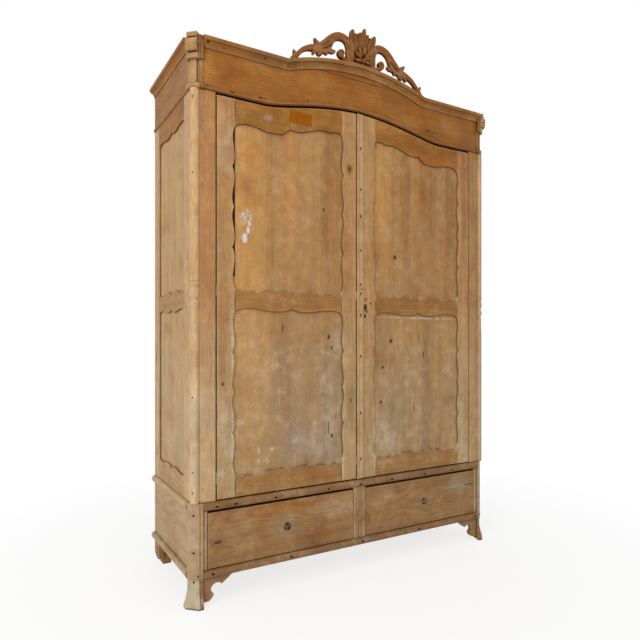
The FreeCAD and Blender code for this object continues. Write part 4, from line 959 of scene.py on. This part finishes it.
def crest_scroll_parts():
    """Scrolls of one side of the crest: great band, tail, volute, leaves and buds."""
    great = [
        (49, 0, 1942, 34), (49, 0, 1975, 40), (50, 0, 2004, 38), (59, 1, 2027, 34),
        (76, 2, 2041, 31), (98, 2, 2044, 31), (120, 2, 2037, 31), (138, 1, 2022, 34),
        (151, 0, 2004, 42), (165, 0, 1988, 46), (182, 0, 1977, 36), (197, 0, 1972, 22),
    ]
    tail = [
        (176, -1, 1982, 34), (198, -1, 1975, 32), (219, -1, 1971, 27), (238, -1, 1965, 21),
        (256, -1, 1955, 18), (271, -1, 1941, 17), (285, -1, 1925, 20), (298, -1, 1908, 22),
        (306, -1, 1892, 20),
    ]
    root = [(44, 1, 1952, 22), (62, 1, 1955, 22), (78, 1, 1961, 18)]
    volute = spiral((92, 1981), -100, 410, 14, 3, 13, root, 2)
    parts = [
        carved_band(great, 24, 0.28, 64),
        carved_band(tail, 20, 0.25, 48),
        carved_band(volute, 24, 0.2, 84),
    ]
    leaves = [
        [(190, 2, 1983, 24), (198, 3, 1991, 21), (206, 4, 1999, 13), (213, 6, 2007, 4)],
        [(286, 1, 1922, 22), (291, 2, 1931, 16), (295, 3, 1938, 8), (297, 4, 1945, 3)],
        [(168, 2, 1991, 28), (150, 3, 1981, 25), (134, 5, 1976, 18), (119, 7, 1981, 9)],
        [(172, 2, 1984, 34), (165, 4, 1971, 24), (160, 5, 1962, 14), (157, 6, 1956, 5)],
        [(188, 2, 1986, 38), (189, 4, 1970, 38), (192, 5, 1955, 27), (197, 6, 1944, 8)],
        [(202, 2, 1974, 24), (209, 4, 1961, 18), (215, 5, 1950, 12), (219, 6, 1941, 4)],
        [(128, 5, 2022, 5), (143, 8, 2008, 9), (159, 9, 1992, 11),
         (178, 7, 1981, 9), (196, 5, 1974, 4)],
        [(60, 6, 1990, 4), (58, 9, 2008, 9), (67, 9, 2028, 8), (84, 7, 2039, 4)],
    ]
    return parts + [carved_band(leaf, 18, 0.38, 22, 14) for leaf in leaves]


def palmette_parts():
    """Fan of petals that leans forward, with a bud between leaves at its foot and a low sole."""
    fan = [
        (0, -3, 1944, 64), (0, -2, 1980, 92), (0, 0, 2015, 112), (0, 2, 2042, 118),
        (0, 4, 2058, 112), (0, 6, 2068, 96), (0, 8, 2074, 68),
    ]
    petals = [
        [(0, 6, 1990, 10), (0, 12, 2030, 18), (0, 18, 2060, 21),
         (0, 23, 2078, 15), (0, 26, 2092, 3)],
        [(9, 5, 1990, 10), (13, 9, 2028, 15), (16, 15, 2052, 17),
         (17, 19, 2066, 13), (17, 21, 2075, 4)],
        [(16, 3, 1990, 10), (26, 7, 2025, 16), (32, 13, 2046, 18),
         (34, 17, 2058, 13), (35, 19, 2067, 4)],
        [(22, 1, 1990, 12), (37, 4, 2025, 22), (46, 10, 2050, 27),
         (50, 15, 2066, 21), (51, 19, 2079, 4)],
        [(24, -1, 1965, 14), (43, 2, 1998, 24), (56, 4, 2022, 24),
         (62, 8, 2038, 16), (65, 10, 2049, 4)],
    ]
    foot = [
        [(0, 20, 1986, 8), (0, 27, 1998, 19), (0, 26, 2011, 16), (0, 20, 2025, 4)],
        [(0, 16, 1982, 7), (0, 24, 1973, 17), (0, 20, 1965, 14), (0, 11, 1958, 5)],
        [(3, 18, 1984, 8), (14, 25, 1991, 13), (21, 25, 2003, 13), (21, 19, 2018, 4)],
        [(4, 17, 1980, 8), (18, 23, 1981, 14), (29, 21, 1990, 13), (34, 13, 2004, 4)],
        [(3, 14, 1975, 8), (14, 20, 1968, 14), (26, 18, 1967, 13), (36, 11, 1975, 4)],
    ]
    sole = [
        (-86, 0, 1938, 10), (-60, 3, 1946, 18), (0, 5, 1953, 24), (60, 3, 1946, 18),
        (86, 0, 1938, 10),
    ]
    petals = [carved_band(petal, 20, 0.42, 36, 16) for petal in petals]
    foot = [carved_band(leaf, 16, 0.42, 22, 14) for leaf in foot]
    middle = [carved_band(fan, 16, 0, 30, 20), carved_band(sole, 26, 0, 40, 16), petals[0]]
    return middle + foot[:2] + both_sides(petals[1:] + foot[2:])


# Middle of the right corner's cant as (x, y) in mm, and the sine of the angle at which it is cut
CORNER = (655.5, -218.5)
SLANT = math.sqrt(0.5)

# Points along the cant in mm and shares of the section there, from the end of a bar to its full size.
# A roll starts at the eye sunk into its end.
ROLL_ROWS = [(-18, 0.3), (-18, 0.78), (-20.5, 0.84), (-20.5, 0.93), (-18.5, 1)]
BLOCK_ROWS = [(-20.5, 0.5), (-20.5, 0.9), (-19.5, 1)]
COLLAR_ROWS = [(-21, 0.3), (-21, 0.7), (-19.5, 0.9), (-16, 1)]


def cant_bar(rows, centre, half, power, sides=36):
    """Level bar across the canted right corner, closed at both ends.

    Its section is a superellipse of the given power round a centre (out, up) with half sizes in mm:
    half times the cosine and sine, each raised to 2 / power. Rows give place along and share of it.
    """
    rows = rows + [(-along, share) for along, share in reversed(rows)]
    turn = np.linspace(0, math.tau, sides, endpoint=False)
    wide = swollen(np.cos(turn), 2 / power)
    tall = swollen(np.sin(turn), 2 / power)
    along, share = np.array(rows).T
    out = centre[0] + half[0] * share[:, None] * wide
    up = centre[1] + half[1] * share[:, None] * tall
    x = CORNER[0] + SLANT * (out + along[:, None])
    y = CORNER[1] - SLANT * (out - along[:, None])
    spots = np.stack([x, y, up], axis=2).reshape(-1, 3)
    return spots, tube_faces(len(rows), sides)


def capital_parts():
    """Fat roll with sunk eyes, the block under it and the rounded collar of both corners."""
    return both_sides([
        cant_bar(ROLL_ROWS, (11, 1866.5), (21, 23), 2.6),
        cant_bar(BLOCK_ROWS, (8, 1832), (11.5, 8.5), 7),
        cant_bar(COLLAR_ROWS, (4, 1736), (11.5, 8.5), 2.6),
    ])


# Small hardware

# Place in front of the object from which lines run to it, and sizes and (side, x, z) of plugs, in mm
AHEAD = -600
NAIL_RISE = 0.7
PLUG_RADIUS = 15
PLUGS = [("left", -316, 218), ("right", 331, 216)]


def dome(spot, facing, radius, rise, rings=3, sides=14):
    """Closed domed disc at a spot in mm.

    Its rings have the radius times the cosine and rise by the sine of an angle that runs from the
    rim to the crown, and a first ring as far behind the spot gives it a wall.
    """
    normal = Vector(facing).normalized()
    side = normal.orthogonal().normalized()
    up = normal.cross(side)
    share = np.linspace(0, 1, rings + 1)
    reach = radius * np.cos(share * math.pi / 2 * 0.92)
    lift = rise * np.sin(share * math.pi / 2)
    turn = np.linspace(0, math.tau, sides, endpoint=False)
    flat = np.cos(turn)[:, None] * np.array(side) + np.sin(turn)[:, None] * np.array(up)
    shells = [flat * r + np.array(normal) * h for r, h in zip(reach, lift)]
    sunk = flat * radius - np.array(normal) * rise
    spots = np.vstack([sunk] + shells) + np.asarray(spot)
    return spots, tube_faces(rings + 2, sides)


def on_surface(names, start, way):
    """Where a straight line first meets any of the named sub-parts, in mm, or None."""
    hits = []
    for name in names:
        spots, triangles = triangles_of(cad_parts[name])
        tree = BVHTree.FromPolygons(spots.tolist(), triangles.tolist())
        place, _, _, away = tree.ray_cast(Vector(start) * MM, Vector(way))
        if place:
            hits.append((away, place / MM))
    return min(hits, key=lambda hit: hit[0])[1] if hits else None


def nails(names, starts, way, radius):
    """Nail heads where lines from the starts meet the named sub-parts."""
    places = [on_surface(names, start, way) for start in starts]
    out = [-part for part in way]
    return [dome(place, out, radius, NAIL_RISE) for place in places if place]


def front_nails(names, spots, radius=4.0):
    """Nail heads on the front."""
    return nails(names, [(x, AHEAD, z) for x, z in spots], (0, 1, 0), radius)


def corner_nails(names, heights, radius=4.0):
    """Nail heads on both canted corners, met from 200 mm to the right and to the front."""
    x, y = CORNER
    starts = [(x + 200, y - 200, z) for z in heights]
    return both_sides(nails(names, starts, (-SLANT, SLANT, 0), radius))


def soften_all(table):
    """Soften each named sub-part; rows hold names, body, finish, material slot and edge share.

    The edge share is that of the edge rounding in the settings.
    """
    settings = bpy.context.scene.wardrobe
    for names, body, finish, slot, share in table:
        for name in names.split():
            soften(name, body, finish, settings.edge_round * share)


BASE = [
    ("base_side_left base_side_right", "carcass", "base side pine, bleached", "pine_frame", 1),
    ("base_corner_left base_corner_right", "carcass", "base corner pine, bleached",
     "pine_turned", 1),
    ("base_rail waist_rail", "carcass", "base moulding pine, worn", "pine_frame", 1),
    ("base_stiles side_mouldings_left side_mouldings_right", "carcass",
     "base side pine, bleached", "pine_frame", 1),
    ("base_back base_bottom drawer_runners", "carcass", "inner pine, unfinished",
     "pine_inside", 0.6),
    ("foot_corner_left foot_corner_right", "carcass", "foot pine, sawn and limed",
     "pine_turned", 1.4),
    ("foot_brackets_left foot_brackets_right rear_foot_left rear_foot_right", "carcass",
     "bracket pine, sawn", "pine_frame", 1.2),
]
CASE = [
    ("front_stile_left", "carcass", "face frame pine, stripped", "pine_frame", 1.3),
    ("front_stile_right", "carcass", "face frame pine, right", "pine_frame", 1.3),
    ("side_frame_left side_frame_right", "carcass", "side frame pine, painted window light", "pine_frame", 1.3),
    ("side_panels_left side_panels_right", "carcass", "side panel pine, painted window light",
     "pine_panel", 0.5),
    ("column_left column_right", "carcass", "column pine, turned", "pine_turned", 0.8),
    ("back_boards floor_board door_stop hat_shelf shelf_cleats hanging_rail", "carcass",
     "inner pine, unfinished", "pine_inside", 0.6),
]
CROWN = [
    ("frieze_board frieze_arch", "carcass", "frieze pine, shellac kept", "pine_frame", 1),
    ("crown_sides", "carcass", "crown side pine, shellac worn", "pine_frame", 1),
    ("cornice_front cornice_arch cornice_sides", "carcass", "cornice pine, moulded and worn",
     "pine_frame", 0.8),
    ("corner_capital_left corner_capital_right", "carcass", "capital pine, carved",
     "pine_turned", 0.8),
    ("top_board", "carcass", "inner pine, unfinished", "pine_inside", 0.6),
]
DOORS = [
    ("left_door_stiles left_door_rails", "left_door", "door frame pine, shellac worn",
     "pine_frame", 1),
    ("left_door_panels", "left_door", "door panel pine, stripped", "pine_panel", 0.5),
    ("right_door_stiles right_door_rails", "right_door", "door frame pine, shellac worn",
     "pine_frame", 1),
    ("right_door_panels", "right_door", "door panel pine, stripped", "pine_panel", 0.5),
    ("cover_strip", "right_door", "cover strip pine, stripped", "pine_frame", 1.3),
]
IRONWORK = [
    ("left_door_pivots slide_bolt_guide", "left_door", "iron, forged", "iron", 0.3),
    ("right_door_pivots lock_case", "right_door", "iron, forged", "iron", 0.3),
    ("lock_bolt", "lock_bolt", "iron, forged", "iron", 0.3),
    ("slide_bolt", "slide_bolt", "iron, forged", "iron", 0.3),
]
DRAWERS = [
    ("left_drawer_front", "left_drawer", "drawer front pine, planed", "pine_frame", 1),
    ("right_drawer_front", "right_drawer", "drawer front pine, planed", "pine_frame", 1),
    ("left_drawer_box", "left_drawer", "inner pine, unfinished", "pine_inside", 0.6),
    ("right_drawer_box", "right_drawer", "inner pine, unfinished", "pine_inside", 0.6),
]


# Stage

def floor_finish():
    """Matt white paper, which far from the object runs into the white of the backdrop."""
    material = bpy.data.materials.new("paper, matt white")
    tree = emptied(material)
    place = add(tree, "TexCoord", out=3)
    away = add(tree, "VectorMath", (place,), 1, operation="LENGTH")
    seen = add(tree, "LightPath", out=0)
    whiter = add(
        tree, "MapRange",
        {"Value": away, "From Min": 0.6, "From Max": 2.0, "To Min": 0.78, "To Max": 1},
        interpolation_type="SMOOTHSTEP",
    )
    share = product(tree, seen, whiter)
    paper = add(tree, "BsdfDiffuse", {"Color": linear("fafafa")})
    white = add(tree, "Emission", {"Color": (1, 1, 1, 1), "Strength": 1})
    both = add(tree, "MixShader", {0: share, 1: paper, 2: white})
    put_out(tree, "Material", both)
    return material


def white_sky(fill):
    """White backdrop for the camera and an even white fill for everything else."""
    world = bpy.data.worlds.new("white studio")
    tree = emptied(world)
    seen = add(tree, "LightPath", out=0)
    strength = add(tree, "MapRange", {"Value": seen, "To Min": fill, "To Max": 1.0})
    sky = add(tree, "Background", {"Color": (1, 1, 1, 1), "Strength": strength})
    put_out(tree, "World", sky)
    bpy.context.scene.world = world


def soft_box(name, place, aim, size, power, colour):
    """Square area lamp that faces its aim."""
    lamp = bpy.data.lights.new(name, "AREA")
    lamp.shape = "SQUARE"
    lamp.size = size
    lamp.energy = power
    lamp.color = linear(colour)[:3]
    stand = bpy.data.objects.new(name, lamp)
    stand.location = place
    stand.rotation_euler = (Vector(aim) - Vector(place)).to_track_quat("-Z", "Y").to_euler()
    bpy.context.scene.collection.objects.link(stand)
    stand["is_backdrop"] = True


def photo_camera():
    """Level camera at the left front with the picture plane shifted down a little."""
    lens = bpy.data.cameras.new("camera")
    lens.sensor_width = 36
    lens.lens = 31.503
    lens.shift_y = 0.0322
    lens.clip_end = 60
    camera = bpy.data.objects.new("camera", lens)
    camera.location = (-1.2431, -2.0350, 0.8899)
    camera.rotation_euler = (math.radians(90), 0, math.radians(-30.536))
    bpy.context.scene.collection.objects.link(camera)
    bpy.context.scene.camera = camera
    camera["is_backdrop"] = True


class WardrobeSettings(bpy.types.PropertyGroup):
    """Sizes and strengths that the whole scene shares."""
    edge_round: bpy.props.FloatProperty(
        name="Edge rounding", description="Worn radius of the board edges",
        default=0.0011, min=0.0001, max=0.004, unit="LENGTH",
    )
    ring_spacing: bpy.props.FloatProperty(
        name="Ring spacing", description="Distance between growth rings",
        default=0.0085, min=0.002, max=0.03, unit="LENGTH",
    )
    # Strength of the dirt and of the painted shade in corners
    grime_and_shade: bpy.props.FloatProperty(
        name="Grime", description="Strength of the dirt in corners",
        default=1.0, min=0.0, max=1.5, subtype="FACTOR",
    )
    fill: bpy.props.FloatProperty(
        name="Fill", description="Level of the even white light",
        default=0.62, min=0.0, max=2.0,
    )
    key_power: bpy.props.FloatProperty(
        name="Key power", description="Power of the large lamp at the left",
        default=110.0, min=0.0, max=2000.0, unit="POWER",
    )


class WARDROBE_OT_stage(bpy.types.Operator):
    """Set the floor, the lamps, the backdrop and the camera"""
    bl_idname = "wardrobe.stage"
    bl_label = "Stage"

    def execute(self, context):
        settings = context.scene.wardrobe
        mesh = bpy.data.meshes.new("floor")
        far = 14
        mesh.from_pydata(
            [(-far, -far, 0), (far, -far, 0), (far, far, 0), (-far, far, 0)], [], [(0, 1, 2, 3)],
        )
        mesh.materials.append(floor_finish())
        floor = bpy.data.objects.new("floor", mesh)
        context.scene.collection.objects.link(floor)
        floor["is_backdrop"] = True
        white_sky(settings.fill)
        soft_box("key", (-4.2, -2.9, 2.6), (0, 0, 1.0), 2.0, settings.key_power, "fffaf2")
        soft_box("top", (-0.6, -1.6, 4.6), (0, 0, 1.2), 2.0, settings.key_power * 0.18, "ffffff")
        photo_camera()
        context.scene.view_settings.view_transform = "Standard"
        return {"FINISHED"}


class WARDROBE_OT_base(bpy.types.Operator):
    """Dress the base, its mouldings, feet and brackets"""
    bl_idname = "wardrobe.base"
    bl_label = "Base"

    def execute(self, context):
        soften_all(BASE)
        return {"FINISHED"}


class WARDROBE_OT_case(bpy.types.Operator):
    """Dress the case, its columns and its inside"""
    bl_idname = "wardrobe.case"
    bl_label = "Case"

    def execute(self, context):
        soften_all(CASE)
        return {"FINISHED"}


class WARDROBE_OT_crown(bpy.types.Operator):
    """Dress the frieze, the cornice and the capitals"""
    bl_idname = "wardrobe.crown"
    bl_label = "Crown"

    def execute(self, context):
        soften_all(CROWN)
        return {"FINISHED"}


class WARDROBE_OT_capitals(bpy.types.Operator):
    """Carve the rolls, blocks and collars of the corner capitals"""
    bl_idname = "wardrobe.capitals"
    bl_label = "Capitals"

    def execute(self, context):
        merged_object(
            "capital_carving", capital_parts(), "carcass", "capital pine, carved",
        )
        return {"FINISHED"}


class WARDROBE_OT_crest(bpy.types.Operator):
    """Carve the crest anew: scrolls, volutes, leaves and the palmette between them"""
    bl_idname = "wardrobe.crest"
    bl_label = "Crest"

    def execute(self, context):
        low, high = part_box("crest_scrolls")
        middle = (0, (low[1] + high[1]) / 2, 0)
        carvings = (("crest_scrolls", both_sides(crest_scroll_parts())),
                    ("crest_palmette", palmette_parts()))
        for name, parts in carvings:
            carving = merged_object(
                name + "_carved", parts, "carcass", "crest pine, carved and stained",
                middle,
            )
            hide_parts(name)
        return {"FINISHED"}


class WARDROBE_OT_nails(bpy.types.Operator):
    """Drive the nail heads and set the wooden plugs of the drawers"""
    bl_idname = "wardrobe.nails"
    bl_label = "Nails and plugs"

    def execute(self, context):
        parts = front_nails(["waist_rail"], WAIST_NAILS)
        parts += front_nails(["base_rail", "base_corner_left", "base_corner_right"], BASE_NAILS)
        parts += corner_nails(["base_corner_right", "foot_corner_right"], CORNER_NAILS)
        parts += corner_nails(["column_right"], COLUMN_NAILS, 2.6)
        merged_object("carcass_nails", parts, "carcass", NAIL_FINISH)
        parts = front_nails(["cover_strip"], STRIP_NAILS, 3.6)
        merged_object("strip_nails", parts, "right_door", NAIL_FINISH)
        for side, x, z in PLUGS:
            drawer = side + "_drawer"
            place = on_surface([drawer + "_front"], (x, AHEAD, z), (0, 1, 0))
            plug = dome(place, (0, -1, 0), PLUG_RADIUS, 0.8, 4, 28)
            merged_object(drawer + "_plug", [plug], drawer, "plug pine, end grain")
        return {"FINISHED"}


class WARDROBE_OT_doors(bpy.types.Operator):
    """Dress both doors"""
    bl_idname = "wardrobe.doors"
    bl_label = "Doors"

    def execute(self, context):
        soften_all(DOORS)
        return {"FINISHED"}


class WARDROBE_OT_ironwork(bpy.types.Operator):
    """Dress the pivots, the lock and the bolts"""
    bl_idname = "wardrobe.ironwork"
    bl_label = "Ironwork"

    def execute(self, context):
        soften_all(IRONWORK)
        return {"FINISHED"}


class WARDROBE_OT_drawers(bpy.types.Operator):
    """Dress the drawers"""
    bl_idname = "wardrobe.drawers"
    bl_label = "Drawers"

    def execute(self, context):
        soften_all(DRAWERS)
        return {"FINISHED"}


class WARDROBE_PT_tools(bpy.types.Panel):
    """Sidebar panel with the settings and one button for each group"""
    bl_idname = "WARDROBE_PT_tools"
    bl_label = "Wardrobe"
    bl_space_type = "VIEW_3D"
    bl_region_type = "UI"
    bl_category = "Wardrobe"

    def draw(self, context):
        for name in WardrobeSettings.__annotations__:
            self.layout.prop(context.scene.wardrobe, name)
        for operator in OPERATORS:
            self.layout.operator(operator.bl_idname)


OPERATORS = [
    WARDROBE_OT_stage, WARDROBE_OT_base, WARDROBE_OT_case, WARDROBE_OT_crown, WARDROBE_OT_capitals,
    WARDROBE_OT_crest, WARDROBE_OT_doors, WARDROBE_OT_ironwork, WARDROBE_OT_drawers,
    WARDROBE_OT_nails,
]


def register():
    """Make the settings, the operators and the panel known."""
    bpy.utils.register_class(WardrobeSettings)
    bpy.types.Scene.wardrobe = bpy.props.PointerProperty(type=WardrobeSettings)
    for operator in OPERATORS:
        bpy.utils.register_class(operator)
    bpy.utils.register_class(WARDROBE_PT_tools)


def unregister():
    """Take them away again."""
    bpy.utils.unregister_class(WARDROBE_PT_tools)
    for operator in reversed(OPERATORS):
        bpy.utils.unregister_class(operator)
    del bpy.types.Scene.wardrobe
    bpy.utils.unregister_class(WardrobeSettings)


def corners():
    """Lowest and highest corner of the shown object as plain lists."""
    return [[float(value) for value in corner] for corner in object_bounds()]


def main():
    """Run every operator in order."""
    register()
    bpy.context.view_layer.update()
    bpy.ops.wardrobe.stage()
    bpy.ops.wardrobe.base()
    bpy.ops.wardrobe.case()
    bpy.ops.wardrobe.crown()
    bpy.ops.wardrobe.capitals()
    bpy.ops.wardrobe.crest()
    bpy.ops.wardrobe.doors()
    bpy.ops.wardrobe.ironwork()
    bpy.ops.wardrobe.drawers()
    bpy.ops.wardrobe.nails()


if __name__ == "__main__":
    main()
